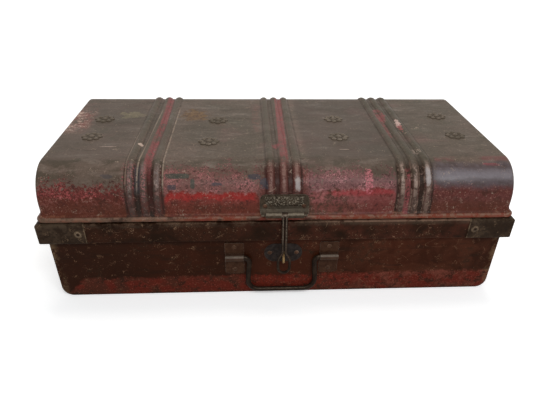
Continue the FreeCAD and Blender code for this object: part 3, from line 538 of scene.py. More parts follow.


# %% [markdown]
# ## Wear of the ribs
# Hands and straps run along the ribs, and each group has aged in its own way. A rib's foot keeps
# grime, one valley of each group keeps a strip of the first red, the crests are pale, partly rubbed
# and partly a painted highlight, and the two ribs that stand most proud carry a painted highlight.
# One recipe for all ribs would look printed, so the marks of the left group are placed one by one.

# %% Crests, valleys and feet of the ribs
def rib_wear(f, colour):
    """Crests and valleys of each group in tones of their own, and a speckled pale crest that is partly rubbed
    paint and partly a painted highlight.
    """
    dull = f.mix(paint(62, 54, 49), paint(104, 82, 76), f.patches.rise(0.42, 0.56))
    brown = f.mix(paint(60, 46, 38), paint(100, 80, 70), f.grain.rise(0.42, 0.56))
    crest_tone = by_group(f, dull, paint(84, 48, 42), brown)
    low_tone = f.mix(paint(48, 36, 30), paint(82, 48, 42), f.grain.rise(0.42, 0.56))
    lowest = f.roll.rise(192, 210) * f.x.rise(110, 90) * (f.patches + f.grain - 0.5).rise(0.38, 0.52)
    crest_tone = f.mix(crest_tone, low_tone, lowest)
    red_brown = f.mix(paint(50, 38, 32), paint(76, 42, 36), f.grain.rise(0.44, 0.58))
    valley_tone = by_group(f, red_brown, paint(70, 36, 31), paint(46, 30, 22))
    broken_up = (f.grain * 0.7 + f.patches * 0.5).rise(0.44, 0.58)
    colour = f.mix(colour, crest_tone, f.low * f.in_ribs * f.crest * (0.35 + broken_up * 0.55))
    colour = f.mix(colour, valley_tone, f.low * f.in_ribs * (1 - f.crest) * (0.45 + broken_up * 0.5))
    # The pale crest is partly rubbed paint and partly a painted highlight.
    rubbed = f.from_crest.rise(4.2, 1.2) * f.low * f.roll.rise(226, 196)
    rubbed = rubbed * (f.grit * 0.6 + f.grain * 0.5 + f.patches * 0.3).rise(0.62, 0.78)
    pale = f.mix(paint(156, 126, 118), paint(124, 118, 114), f.patches.rise(0.44, 0.56))
    rub_and_highlight_tone = by_group(f, pale, paint(136, 106, 96), paint(164, 142, 130))
    return f.mix(colour, rub_and_highlight_tone, f.in_ribs * rubbed * 0.7)


print("a rib is rubbed along its crest and dark", rib_foot, "mm beside it")


# %% Marks of the left and right ribs
def single_rib_marks(f, colour):
    """Marks in the left group, pale sides in the right one that are partly wear and partly a painted
    highlight, and the dark feet of all ribs.
    """
    blue_valley = beside(f, -216, 3, 6) * f.roll.between(166, 208, 6)
    blue_valley = blue_valley * (f.patches + f.grit - 0.5).rise(0.34, 0.52)
    colour = f.mix(colour, paint(84, 86, 92), blue_valley * f.front * 0.6)
    outer_flecks = beside(f, -229, 8, 13) * f.roll.between(160, 200, 8) * f.grit.rise(0.53, 0.62)
    inner_flecks = beside(f, -207, 2, 5) * f.roll.between(172, 214, 6) * f.grit.rise(0.50, 0.60)
    colour = f.mix(colour, paint(164, 96, 98), outer_flecks.most(inner_flecks) * f.front * 0.75)
    pale_flecks = beside(f, -184, 5, 9) * f.roll.between(150, 200, 8)
    pale_flecks = pale_flecks * (f.grit * 0.7 + f.grain * 0.4).rise(0.58, 0.66)
    colour = f.mix(colour, paint(160, 140, 130), pale_flecks * f.front * 0.6)
    red_valley = beside(f, -197, 2.5, 5) * f.roll.between(176, 226, 8)
    colour = f.mix(colour, paint(66, 30, 27), red_valley * f.front * 0.7)
    # Pale lines on the sides of the right ribs: partly wear, partly a painted highlight.
    side_edge_wear_and_highlight = abs(f.from_crest - 6.2).rise(1.6, 0.5) * f.low * f.x.rise(110, 130) * f.grain.rise(0.44, 0.56)
    colour = f.mix(colour, paint(144, 118, 104), f.in_ribs * side_edge_wear_and_highlight * 0.65)
    return f.mix(colour, paint(34, 26, 20), f.foot * f.low * (0.35 + (f.patches - 0.4) * 1.2).limited())


print("ribs are", rib_pitch, "mm apart, and the left ones stand round x", rib_groups[0])


# %% Red stripes, and ribs rubbed through
def stripes(f, colour):
    """A strip of the first red in one valley of each group, which slants a little."""
    left = abs(f.x + 198 + f.roll * 0.02).rise(7, 4) * f.roll.rise(205, 150)
    middle = abs(f.x - 9 - f.y * 0.02).rise(8, 5) * f.roll.rise(180, 130)
    middle = middle.most(spot(f, -3, -101, 9, 12, ragged=1.4))
    right = beside(f, 195, 3, 6) * f.roll.rise(168, 180)
    right = right.most(spot(f, 199, 44, 10, 40, ragged=1.4, grain=9.0))
    right = right.most(spot(f, 196, -20, 4, 50) * 0.6)
    stripe = left.most(middle).most(right) * (f.patches * 0.8 + f.grain * 0.6 + f.grit * 0.6).rise(0.84, 1.02)
    stripe_tone = f.mix(paint(108, 66, 63), paint(142, 72, 74), f.grit.rise(0.42, 0.58))
    return f.mix(colour, stripe_tone, stripe * 0.75)


def painted_rib_highlights(f, colour):
    """Painted highlights on the two ribs that stand most proud, pale where light catches their crests."""
    rubbed = beside(f, 25, 1.5, 7.5) * f.roll.between(184, 206, 8)
    rubbed = rubbed.most(beside(f, 227, 1.5, 7.5) * f.roll.between(170, 201, 10))
    # The pale patches on these two crests are painted highlights.
    through = (rubbed + (f.grain - 0.5) * 0.9 + (f.grit - 0.5) * 0.9).rise(0.35, 1.05) * rubbed.rise(0, 0.2)
    return f.mix(colour, paint(160, 152, 150), through * f.front * 0.85)


print("stripes run in", len(rib_groups), "valleys")


# %% [markdown]
# ## Marks on the lid
# A long life leaves marks that belong to no pattern: a scuffed left end, a smear of glue, a
# rust bloom, a few drips of other coats. Each is a ragged patch with a colour of its own. The
# right end of the front round carries a painted sheen: a bluish band, as if it reflected a
# window, with a paler painted highlight along its middle, where the coat is a little glossier.

# %% Scuffs, rust and drips
scuff_starts, scuff_full = -318, -338


def old_marks(f, colour):
    """Marks that old labels, damp and other coats have left."""
    scuff = f.x.rise(scuff_starts, scuff_full) * abs(f.y - 28).rise(78, 40) * f.z.rise(184, 208)
    scuff = scuff * (f.patches + f.grit - 0.5).rise(0.42, 0.56)
    scuff_pale = (f.grain * 0.7 + f.fine * 0.5 + f.x.rise(-336, -350) * 0.06).rise(0.63, 0.71)
    colour = f.mix(colour, f.mix(paint(122, 74, 67), paint(200, 172, 156), scuff_pale), scuff * 0.65)
    glue_tone = f.mix(paint(112, 103, 80), paint(134, 124, 100), f.grit.rise(0.50, 0.60))
    colour = f.mix(colour, glue_tone, spot(f, -263, 54, 24, 18, ragged=2.8, grain=12.0, seed=5.0) * 0.55)
    rust_tone = f.mix(paint(106, 80, 48), paint(78, 56, 40), f.grain.rise(0.46, 0.56))
    colour = f.mix(colour, rust_tone, spot(f, -148, 50, 28, 34, ragged=2.8, grain=18.0, seed=6.0) * 0.75)
    pink_net = patch(f, 135, 192, 6, 20, ragged=1.8, seed=12.0, grain=5.0) * f.grit.rise(0.54, 0.46)
    colour = f.mix(colour, paint(190, 108, 116), pink_net * 0.8)
    return f.mix(colour, paint(168, 66, 66), patch(f, 331, 165, 14, 3.0, ragged=1.8, seed=16.0) * 0.8)


def drips(f, colour):
    """Drips of a teal and of a blue coat on the front round."""
    teal = patch(f, -157, 182, 19, 4.5, ragged=0.8, seed=8.0)
    teal = teal.most(patch(f, -134, 194, 3.5, 8, ragged=1.2, seed=10.0))
    colour = f.mix(colour, f.mix(paint(56, 62, 55), paint(74, 76, 67), f.grain.rise(0.4, 0.6)), teal * 0.85)
    blue = patch(f, -165, 199, 7, 4.0, ragged=1.2, seed=13.0)
    blue = blue.most(patch(f, -40, 184, 10, 4.5, ragged=1.6, seed=17.0))
    blue = blue.most(patch(f, -26, 195, 7, 9, ragged=1.8, seed=14.0))
    blue = blue.most(patch(f, -98, 195, 8, 2.6, ragged=1.5, seed=19.0))
    blue = blue.most(patch(f, -262, 182, 9, 3.5, ragged=1.8, seed=20.0) * 0.6)
    return f.mix(colour, f.mix(paint(48, 52, 61), paint(66, 63, 67), f.grain.rise(0.42, 0.58)), blue * 0.75)


def painted_sheen(f, colour):
    """A painted sheen at the right of the front round: a bluish band with a paler painted highlight along its
    middle. Also gives the amount of that highlight.
    """
    # Painted reflection of a window: a bluish band, and a painted highlight along its middle.
    sheen_zone = f.x.rise(229, 246) * f.front * (1 - f.at_end)
    sheen_band = (f.roll + (f.patches - 0.5) * 14).between(160, 204, 7)
    painted_highlight_streak = sheen_zone * abs(f.roll - 183 + (f.streaks - 0.5) * 18).rise(17, 1)
    painted_sheen_tone = f.mix(paint(74, 62, 64), paint(88, 78, 82), f.grain.rise(0.4, 0.6))
    colour = f.mix(colour, painted_sheen_tone, sheen_zone * sheen_band * 0.8)
    return f.mix(colour, paint(124, 118, 124), painted_highlight_streak * (0.55 + (f.grit - 0.5) * 0.8).limited()), painted_highlight_streak


print("the scuffed end is the last", round(half_length + scuff_full, 1), "mm on the left")

# %% [markdown]
# ## Bead, scratches and the inside
# Dust lies in the hollow above the bead, and the bead itself, which lands on the rim, is worn
# to mixed browns, with a painted highlight along its top. Scratches could be drawn one by one,
# but most of them are the thin lines where a noise passes through its middle, cut short by
# another noise. The inside of a trunk hardly ages, so it has a plain brown that the base shares.

# %% Bead of the lid
bead_top = 154.4
bead_highlight_band = (151.0, 153.8)


def bead_wear(f, colour):
    """Dust in the hollow above the bead, mixed browns on the bead itself, and a painted highlight along its
    top.
    """
    dust = f.z.between(bead_top, 157, 1.2) * (f.streaks + f.grain - 0.5).rise(0.48, 0.64)
    colour = f.mix(colour, paint(126, 78, 56), dust * 0.6)
    tone = f.mix(paint(96, 74, 60), paint(112, 51, 34), f.x.rise(-190, -120))
    tone = f.mix(tone, paint(116, 77, 60), f.grain.rise(0.44, 0.60))
    tone = f.mix(tone, paint(48, 31, 23), f.noise(22, 4.0, seed=21.0).rise(0.52, 0.62) * 0.8)
    reddish = f.noise(30, 3.0, seed=22.0).rise(0.48, 0.60) * f.x.rise(-230, -120)
    tone = f.mix(tone, paint(118, 54, 42), reddish * 0.7)
    # A paler band on the upper half of the bead is a painted highlight.
    tone = f.mix(tone, paint(134, 108, 92), f.z.between(*bead_highlight_band, 0.8) * f.grain.rise(0.40, 0.56) * 0.5)
    return f.mix(colour, tone, f.z.rise(bead_top, bead_top - 1.2))


print("the bead ends at", bead_top, "mm")


# %% Scratches and chips of the lid
def lid_scratches(f, colour):
    """A few long ones, short hooks, pale lines beside some of the left ribs, and fine chips."""
    long = f.hairs(60, 0.0028, stretch=(3, 1, 1), seed=23.0, warp=0.3)
    long = long * f.grain.rise(0.50, 0.58) * f.patches.rise(0.48, 0.6)
    hooks = f.hairs(9, 0.026, seed=27.0, warp=1.6) * f.noise(11, 3.0, seed=29.0).rise(0.60, 0.65)
    foot_line = beside(f, -178.3, 0.6, 1.7) * f.y.rise(100, 70)
    foot_line = foot_line.most(abs(f.x + 210.5 - f.y * 0.033).rise(1.7, 0.6) * f.y.rise(90, 40))
    foot_line = foot_line.most(beside(f, -233.3, 0.6, 1.6) * f.y.rise(-20, -50))
    foot_line = foot_line * f.roll.rise(214, 190)
    foot_line = foot_line * (f.fine * 0.6 + f.grain * 0.6 + f.patches * 0.2).rise(0.57, 0.70)
    chips = f.fine.rise(0.63, 0.68) * f.patches.rise(0.46, 0.58) * (0.4 + 0.6 * f.roll.rise(120, 190))
    pale = long.most(hooks).most(foot_line)
    colour = f.mix(colour, paint(170, 150, 132), pale * 0.5)
    return f.mix(colour, paint(164, 132, 118), chips * 0.5), pale, chips


def lid_chips(f, colour):
    """Single larger chips on the top, by their places."""
    chips = spot(f, -222, -95, 5, 6, grain=4.0).most(spot(f, -273, -98, 14, 1.4, ragged=1.6, grain=4.0) * 0.5)
    chips = chips.most(spot(f, 107, -114, 10, 1.2, ragged=1.6, grain=4.0) * 0.5)
    chips = chips.most(spot(f, 221, -126, 9, 12, ragged=1.0) * f.fine.rise(0.54, 0.60) * 0.7)
    colour = f.mix(colour, paint(196, 172, 156), chips * 0.8)
    pink_tone = f.mix(paint(150, 90, 88), paint(204, 174, 164), ((f.y + 14) / 50 + f.grit).rise(0.46, 0.70))
    return f.mix(colour, pink_tone, spot(f, 223, -8, 4.0, 28, ragged=3.0, seed=3.0) * 0.85)


print("chips lie on the top, and scratches all over")

# %% Inside paint
inner_brown = (paint(72, 54, 43), paint(82, 62, 49))


def inner_paint(f, seed):
    """Plain brown of the inside, which light and hands have hardly reached."""
    stains = f.noise(60, 4.0, seed=seed, warp=0.6)
    grain = f.noise(5.0, 4.0, seed=seed + 2, rough=0.75)
    colour = f.mix(*inner_brown, stains.rise(0.36, 0.64))
    colour = f.mix(colour, paint(54, 38, 28), (grain * 0.6 + stains * 0.5).rise(0.58, 0.70) * 0.5)
    return f.mix(colour, paint(112, 92, 76), grain.rise(0.40, 0.32) * 0.3)


print("inside browns:", [round(light, 3) for colour in inner_brown for light in colour[:3]])


# %% All layers of the lid
def lid_paint():
    """The layers in turn, from the ground outwards, and the sheet's gentle dents."""
    f = LidFinish("lid_paint")
    red, solid, solid_from = red_reach(f)
    colour = f.mix(bare_ground(f), broken_red(f), red)
    colour = f.mix(colour, clear_red(f, solid_from), solid)
    colour = crumbled(f, colour, red, solid)
    # The last step of the next line paints highlights on two proud ribs.
    colour = painted_rib_highlights(f, stripes(f, single_rib_marks(f, rib_wear(f, colour))))
    # The next line paints a bluish sheen and a highlight at the right of the front round.
    colour, painted_highlight_streak = painted_sheen(f, drips(f, old_marks(f, colour)))
    colour, pale, chips = lid_scratches(f, bead_wear(f, colour))
    inside = f.inner_side(middle_height=130, half_height=96)
    colour = f.mix(lid_chips(f, colour), inner_paint(f, 100.0), inside)
    dents = f.noise(150, 1.0, seed=41.0) * 1.6 + f.noise(48, 1.5, seed=43.0) * 0.30
    height = dents + red * 0.04 + f.grain * 0.10 + f.grit * 0.06 - pale * 0.05 - chips * 0.04
    roughness = 0.50 - solid * 0.06 + (f.streaks - 0.5) * 0.3 + pale * 0.1 + (f.grain - 0.5) * 0.2
    coat = painted_highlight_streak * 0.4 + f.low * f.crest * 0.06 + red * 0.05 + 0.03
    coat = coat * (0.6 + f.patches * 0.8) * (1 - inside)
    return f.finish(colour, roughness.limited(), height, coat=coat.limited(), coat_roughness=0.28)


finishes["lid_paint"] = lid_paint()


# %% [markdown]
# ## Paint of the base
# The base kept a thick dark brown coat, with a strip of the first red showing near the
# ground, where feet and floors have rubbed it. A straight strip would look like a stripe of
# tape, so its upper edge wanders with the noise, and it sinks towards the left corner.

# %% Scratches and the red strip
strip_top = 35


def scratches(f, seed=0.0):
    """Fine pale scratches, mostly short and hooked, with a few long ones."""
    hooked = f.hairs(8, 0.026, seed=seed + 3.0, warp=1.8) * f.noise(12, 3.0, seed=seed + 5.0).rise(0.58, 0.64)
    long = f.hairs(60, 0.0026, stretch=(2, 1, 1), seed=seed + 7.0, warp=0.4)
    return hooked.most(long * f.noise(26, 2.0, seed=seed).rise(0.57, 0.64))


def red_strip(f, patches, grain, fine):
    """The first red near the ground: its colour, and how much of it shows."""
    edge = strip_top - f.z + (patches - 0.5) * 18 + (grain - 0.5) * 16
    shows = (edge + f.x.rise(-320, 60) * 3 - f.x.rise(-322, -358) * 30).rise(-3, 4)
    colour = f.mix(paint(92, 34, 24), paint(72, 37, 26), patches.rise(0.42, 0.58))
    colour = f.mix(colour, paint(112, 38, 25), beside(f, 20, 40, 110) * grain.rise(0.46, 0.60) * 0.7)
    rubbed = f.x.rise(60, 200) * (grain * 0.6 + patches * 0.5).rise(0.50, 0.62)
    colour = f.mix(colour, paint(114, 60, 48), rubbed * 0.7)
    colour = f.mix(colour, paint(48, 29, 20), f.noise(18, 4.0, seed=14.0, rough=0.7).rise(0.52, 0.62) * 0.85)
    return f.mix(colour, paint(142, 72, 58), fine.rise(0.57, 0.66) * 0.55), shows


print("the strip reaches", strip_top, "mm up, give or take its ragged edge")


# %% Base paint
def base_paint():
    """Thick dark brown, redder to the right, with the strip below and worn front corners."""
    f = Finish("base_paint")
    cloud = f.noise(150, 3.0, seed=2.0)
    patches = f.noise(38, 4.0, seed=5.0, warp=0.6)
    grain = f.noise(7.0, 4.0, seed=8.0, rough=0.75)
    fine = f.noise(2.6, 2.0, seed=10.0, rough=0.7)
    streaks = f.noise(16, 4.0, stretch=(4, 1, 1), seed=12.0, warp=0.4, rough=0.7)
    colour = f.mix(paint(46, 21, 9), paint(61, 28, 15), cloud.rise(0.40, 0.60))
    colour = f.mix(colour, paint(36, 19, 9), f.x.rise(-120, -260) * 0.7)
    colour = f.mix(colour, paint(76, 40, 25), f.x.rise(-20, 200) * patches.rise(0.38, 0.62) * 0.65)
    colour = f.mix(colour, paint(34, 21, 13), streaks.rise(0.50, 0.70) * 0.6)
    colour = f.mix(colour, paint(40, 29, 18), (patches * 0.6 + grain * 0.5).rise(0.60, 0.72) * 0.6)
    colour = f.mix(colour, paint(84, 54, 36), fine.rise(0.60, 0.68) * grain.rise(0.48, 0.6) * 0.5)
    strip_colour, strip = red_strip(f, patches, grain, fine)
    colour = f.mix(colour, strip_colour, strip * 0.95)
    foot = f.z.rise(8, 2)
    colour = f.mix(colour, paint(50, 34, 24), foot * grain.rise(0.42, 0.58) * 0.8)
    corner = abs(f.x).rise(half_length - 16, half_length - 3) * f.y.rise(14 - half_depth, 2 - half_depth)
    corner = corner * (patches * 0.6 + grain * 0.7 - 0.15).rise(0.44, 0.58)
    colour = f.mix(colour, paint(104, 82, 60), corner * 0.75)
    marks = scratches(f, seed=50.0)
    colour = f.mix(colour, paint(140, 106, 80), marks * 0.5)
    colour = f.mix(colour, paint(112, 74, 54), fine.rise(0.64, 0.69) * patches.rise(0.47, 0.60) * 0.55)
    colour = f.mix(colour, inner_paint(f, 110.0), f.inner_side(middle_height=72, half_height=72))
    height = f.noise(140, 1.0, seed=45.0) * 1.5 + f.noise(45, 1.0, seed=46.0) * 0.25
    height = height + grain * 0.08 + fine * 0.04 + strip * 0.03 - marks * 0.04
    roughness = (0.46 + (streaks - 0.5) * 0.3 + strip * 0.05 + foot * 0.2).limited()
    return f.finish(colour, roughness, height, gloss=0.03, coat=(patches * 0.05).limited())


finishes["base_paint"] = base_paint()


# %% [markdown]
# ## Paint of the rim and the corner caps
# The rim is darker still. Its top edge is the one that the lid lands on and hands catch, so it
# has a pale line that is partly wear and partly a painted highlight, as has its lower edge. The
# corner caps are separate folded pieces: their edges and a ring round each rivet are rubbed
# bare, and a bevel that is only looked up, not built, finds those edges.

# %% Rim paint
rim_low_edge = 112.0
rim_top_wear_and_highlight = (142.6, 145.2)


def rim_paint():
    """Very dark brown, with pale lines along the top edge, where the lid lands, and along the lower edge,
    each partly wear and partly a painted highlight.
    """
    f = Finish("rim_paint")
    patches = f.noise(42, 4.0, seed=6.0, warp=0.6)
    grain = f.noise(6.0, 4.0, seed=9.0, rough=0.75)
    fine = f.noise(2.6, 2.0, seed=11.0, rough=0.7)
    colour = f.mix(paint(33, 17, 7), paint(50, 26, 14), patches.rise(0.40, 0.62))
    reddish = f.noise(30, 3.0, seed=16.0).rise(0.34, 0.70) * f.x.rise(-200, 100)
    colour = f.mix(colour, paint(74, 38, 27), reddish * 0.7)
    colour = f.mix(colour, paint(28, 18, 10), grain.rise(0.52, 0.66) * 0.7)
    ragged = (patches * 0.8 + (grain - 0.5) * 0.9 + 0.14 * f.x.rise(-60, 120)).rise(0.28, 0.56)
    colour = f.mix(colour, paint(76, 62, 50), f.z.rise(134, 142) * ragged * 0.55)
    # The pale top-edge line is partly wear and partly a painted highlight, brighter to the right.
    edge_wear_and_highlight_tone = f.mix(paint(112, 88, 70), paint(158, 124, 104), f.x.rise(0, 140))
    colour = f.mix(colour, edge_wear_and_highlight_tone, f.z.between(*rim_top_wear_and_highlight, 0.7) * ragged * 0.45)
    top_wear_and_highlight = f.z.rise(145, 146.5) * grain.rise(0.42, 0.56) * f.x.rise(0, 140)
    colour = f.mix(colour, paint(78, 62, 50), top_wear_and_highlight * 0.4)
    # The pale line along the lower edge is partly wear and partly a painted highlight.
    colour = f.mix(colour, paint(84, 60, 44), f.z.rise(rim_low_edge, rim_low_edge - 1.4) * ragged * 0.6)
    marks = scratches(f, seed=60.0)
    chips = fine.rise(0.63, 0.69) * patches.rise(0.46, 0.60)
    colour = f.mix(colour, paint(150, 118, 92), (marks * 0.6).most(chips * 0.5))
    height = f.noise(90, 1.0, seed=47.0) * 1.0 + grain * 0.08 + fine * 0.04 - marks * 0.04
    roughness = (0.44 + (patches - 0.5) * 0.3).limited()
    return f.finish(colour, roughness, height, gloss=0.03, coat=(patches * 0.06).limited())


finishes["rim_paint"] = rim_paint()

# %% Corner cap paint
cap_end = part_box("corner_cap_front_right")[0].x / MM
cap_rivet_x = cap_end + 11
cap_rivet_z = 127.0
cap_ring_radius = 5.4


def from_cap_rivet(f):
    """Distance in the front's plane from the nearest rivet of a corner cap."""
    across = abs(f.x) - cap_rivet_x
    along = f.z - cap_rivet_z
    return (across * across + along * along).root()


def cap_paint():
    """Dark brown, rubbed bare along its edges, its seam and round its rivets."""
    f = Finish("cap_paint")
    patches = f.noise(24, 4.0, seed=6.5, warp=0.6)
    grain = f.noise(5.0, 4.0, seed=9.5, rough=0.75)
    ragged = (patches + grain - 0.5).rise(0.34, 0.56)
    colour = f.mix(paint(42, 29, 19), paint(60, 46, 34), patches.rise(0.42, 0.62))
    colour = f.mix(colour, paint(32, 22, 15), grain.rise(0.50, 0.62) * 0.7)
    colour = f.mix(colour, paint(84, 70, 56), f.z.rise(136, 143) * ragged * 0.5)
    edge = f.edges(0.9) * ragged
    seam = abs(abs(f.x) - cap_end - 0.8).rise(1.0, 0.4) * (ragged * 0.7 + 0.3 * f.z.rise(128, 140))
    ring = abs(from_cap_rivet(f) - cap_ring_radius).rise(1.0, 0.2) * f.y.rise(1, -1) * grain.rise(0.40, 0.52)
    worn = edge.most(seam).most(ring * 0.8)
    colour = f.mix(colour, paint(124, 104, 82), worn * 0.75)
    marks = scratches(f, seed=70.0)
    colour = f.mix(colour, paint(134, 108, 84), marks * 0.55)
    height = f.noise(60, 1.0, seed=49.0) * 0.5 + grain * 0.08 - marks * 0.03 - worn * 0.05
    roughness = (0.46 + (patches - 0.5) * 0.3).limited()
    return f.finish(colour, roughness, height, gloss=0.03, coat=(patches * 0.09).limited())


finishes["cap_paint"] = cap_paint()
print("corner caps start", round(cap_end, 1), "mm from the middle")


# %% [markdown]
# ## Iron of the fittings
# Hasp, handle, brackets and hinges are blackened iron. Hands polish it where they touch, so
# edges shine, and grime stays in the flats. On round rods and barrels, the side that faces up
# and out gets a painted highlight. The same recipe serves them all, with its own dark, worn and
# bright colours for each, and some have a rule of their own for their rubbing and highlights.

# %% Iron
def iron(name, dark, worn, bright, shine=0.5, rule=None, seed=0.0, metal=0.6, rusty=0.6):
    """Blackened iron. rule gives more rubbing and painted highlight, and relief in millimetres, in a piece's
    own places.
    """
    f = Finish(name)
    patches = f.noise(11, 4.0, seed=seed + 2.0, warp=0.8)
    grain = f.noise(2.4, 4.0, seed=seed + 4.0, rough=0.75)
    rust = f.noise(7, 4.0, seed=seed + 8.0, rough=0.7).rise(0.56, 0.68)
    rubbed = (f.edges(0.8) * 0.6 + (patches - 0.5) * 0.8 + (grain - 0.5) * 0.8).rise(0.20, 0.80)
    relief = 0.0
    if rule:
        more, relief = rule(f, grain)
        # The rule's extra is a painted highlight on rods and barrels, added to the rubbed edges.
        rubbed = (rubbed + more).limited()
    colour = f.mix(paint(*dark), paint(*worn), (patches * 0.7 + grain * 0.4).rise(0.44, 0.66))
    colour = f.mix(colour, paint(60, 38, 25), rust * rusty)
    # The bright colour marks rubbed edges and painted highlights alike.
    colour = f.mix(colour, paint(*bright), rubbed * shine)
    height = grain * 0.10 + patches * 0.12 + relief
    roughness = (0.55 - rubbed * 0.18 + rust * 0.2 + (grain - 0.5) * 0.2).limited()
    metallic = (rubbed * 0.3 + metal - rust * 0.4).limited()
    finishes[name] = f.finish(colour, roughness, height, metallic=metallic)


def highlight_side(f, outward, upward):
    """1 on the side of a rod that faces out and up, where a painted highlight goes."""
    normal = f.node("ShaderNodeTexCoord", out="Normal")
    forward, upright = f.part(normal, 1), f.part(normal, 2)
    return (upright * upward - forward * outward).rise(0.85, 0.99)


iron("fitting_iron", dark=(38, 30, 23), worn=(60, 50, 39), bright=(150, 138, 118))

# %% [markdown]
# ## Hasp and staple
# The hasp plate was pressed with a rough pattern inside a plain border. Relief of that kind
# could be modelled, but it is thinner than the sheet, so bump shows it as well. Its barrel and
# the arm's two rods get a painted highlight along their fronts, less towards the eye, and the
# staple under the eye is worn to yellowish metal by years of padlocks.

# %% Hasp plate, arm, staple and staple plate
pattern_x, pattern_z = (-25, 35), (169, 184)
border_x, border_z = (-29, 39), (167, 186.0)


def pressed_plate(f, grain):
    """Rough pattern inside a plain border on the hasp plate, and a painted highlight along the top of its
    barrel.
    """
    inside = f.x.between(*pattern_x, 1.0) * f.z.between(*pattern_z, 0.8)
    marks = f.hairs(4.2, 0.10, seed=90.0, warp=0.8).most(f.hairs(5.0, 0.07, seed=95.0, warp=0.3))
    groove = f.x.between(*border_x, 0.5) * f.z.between(*border_z, 0.5) * (1 - inside)
    # A painted highlight along the top of the barrel, on the side that faces up and out.
    barrel = f.y.rise(-203.5, -206.0) * highlight_side(f, 0.72, 0.69)
    below = f.z.between(160, 168, 1.5) * 0.5
    bright = marks * inside * grain.rise(0.46, 0.58) + barrel * (grain * 0.55) + below * grain * 0.8
    return bright, marks * inside * 0.5 - groove * 0.35


def arm_highlight(f, grain):
    """A painted highlight along the fronts of the arm's rods, fading towards the eye at their lower end."""
    return highlight_side(f, 0.94, 0.34) * (0.15 + grain.rise(0.40, 0.62) * 0.6) * f.z.rise(60, 120), 0.0


iron("hasp_plate_iron", (46, 38, 30), (68, 58, 47), (136, 126, 110), 0.75, pressed_plate, 20.0, metal=0.3)
iron("arm_iron", (32, 24, 18), (52, 41, 33), (146, 132, 116), 0.6, arm_highlight, 30.0, metal=0.4)
iron("staple_iron", (110, 84, 54), (160, 132, 92), (220, 200, 156), 0.7, seed=40.0)
iron("staple_plate_iron", (34, 27, 25), (50, 43, 40), (106, 96, 88), 0.4, seed=45.0, metal=0.1)


# %% [markdown]
# ## Handle, rivets and wire
# The bail was painted over, and a dull painted highlight runs along its top. Its brackets took
# the base's brown, and their straps get a painted highlight along their tops, where the bail
# turns under them. A cap's rivets are tubes: paint stays in the hollow and wears off the rim.

# %% Bail, brackets, rivets and wire
def strap_highlight(f, grain):
    """A painted highlight along the tops of the straps round the bail, over a little rubbing."""
    strap = f.y.rise(-198.5, -200.0) * f.z.between(70, 84, 1.0)
    return strap * highlight_side(f, 0.66, 0.75) * (0.5 + (grain - 0.5)) + strap * 0.08, 0.0


def bail_highlight(f, grain):
    """A dull painted highlight on the side of the bail that faces up and out."""
    return highlight_side(f, 0.60, 0.80) * (grain.rise(0.36, 0.62) * 0.8), 0.0


def cap_rivet_top(f, grain):
    """Paint stays in the hollow of a tube rivet and wears off its rim."""
    from_axis = from_cap_rivet(f)
    rim_worn = from_axis.between(2.8, 4.4, 0.5) * (0.2 + grain * 0.9) * (1 - 0.45 * f.x.rise(-10, 10))
    return rim_worn - from_axis.rise(2.6, 1.8) * 0.6, 0.0


iron("bail_iron", (30, 22, 17), (46, 35, 27), (98, 86, 72), 0.5, bail_highlight, 50.0, metal=0.3)
iron("bracket_iron", (54, 33, 22), (68, 45, 32), (126, 117, 106), 0.7, strap_highlight, 60.0,
     metal=0.1, rusty=0.3)
iron("rivet_iron", (62, 42, 31), (88, 62, 48), (140, 118, 98), 0.6, seed=70.0, metal=0.2)
iron("cap_rivet_iron", (36, 25, 18), (50, 36, 27), (138, 118, 96), 0.8, cap_rivet_top, 75.0, metal=0.2)
iron("wire", (110, 106, 100), (130, 126, 120), (160, 156, 150), 0.6, seed=85.0)


# %% [markdown]
# ## Rosettes
# The eight pressed flowers are thin tin that took on the lid's colour. Height alone sets their
# tones: the tops of the petals are rubbed pale and lit by a painted highlight, the rings half
# way up get a painted highlight, and the foot is darkened by painted shade.

# %% Rosettes
def rosette_tin():
    """Thin pressed tin that took on the lid's colour, darkened by painted shade round each petal's foot."""
    f = Finish("rosette_tin")
    lift = f.z - lid_top
    grain = f.noise(4.0, 4.0, seed=81.0, rough=0.75)
    patches = f.noise(30, 3.0, seed=83.0)
    # Darker low and lighter high: painted shade round the foot, painted light on the raised petals.
    colour = f.mix(paint(74, 64, 54), paint(97, 86, 75), lift.rise(0.8, 2.2))
    # The pale tops are partly rubbed and partly a painted highlight.
    rubbed = (lift + (grain - 0.5) * 3).rise(2.2, 3.2)
    colour = f.mix(colour, paint(118, 106, 94), rubbed * 0.55)
    # Painted highlight on the rings half way up.
    arcs = lift.between(1.5, 2.0, 0.3) * grain.rise(0.42, 0.54) * (0.3 + 0.7 * f.x.between(-190, 170, 5))
    colour = f.mix(colour, paint(160, 146, 130), arcs * 0.8)
    colour = f.mix(colour, paint(70, 62, 50), (patches + grain - 0.5).rise(0.46, 0.60) * 0.5)
    return f.finish(colour, (0.6 - rubbed * 0.1).limited(), grain * 0.2, coat=0.04)


finishes["rosette_tin"] = rosette_tin()

# %% [markdown]
# ## Dressing the pieces
# Each piece has a material slot in the record, which names its finish. A few fittings get a
# finish of their own instead, because they are rubbed in their own places.

# %% Dress the pieces
own_finish = {"hasp_plate": "hasp_plate_iron", "hasp_arm": "arm_iron", "bail_handle": "bail_iron",
              "handle_bracket_left": "bracket_iron", "handle_bracket_right": "bracket_iron",
              "staple_plate": "staple_plate_iron", "corner_cap_rivets": "cap_rivet_iron"}
slot_of = {entry["node"]: entry["material_slot"] for entry in frame["record"]["subparts"]}
for name, piece in nodes.items():
    material = finishes[own_finish.get(name, slot_of[name])]
    piece.data.materials.clear()
    piece.data.materials.append(material)
print("dressed", len(nodes), "pieces in", len(finishes), "finishes")


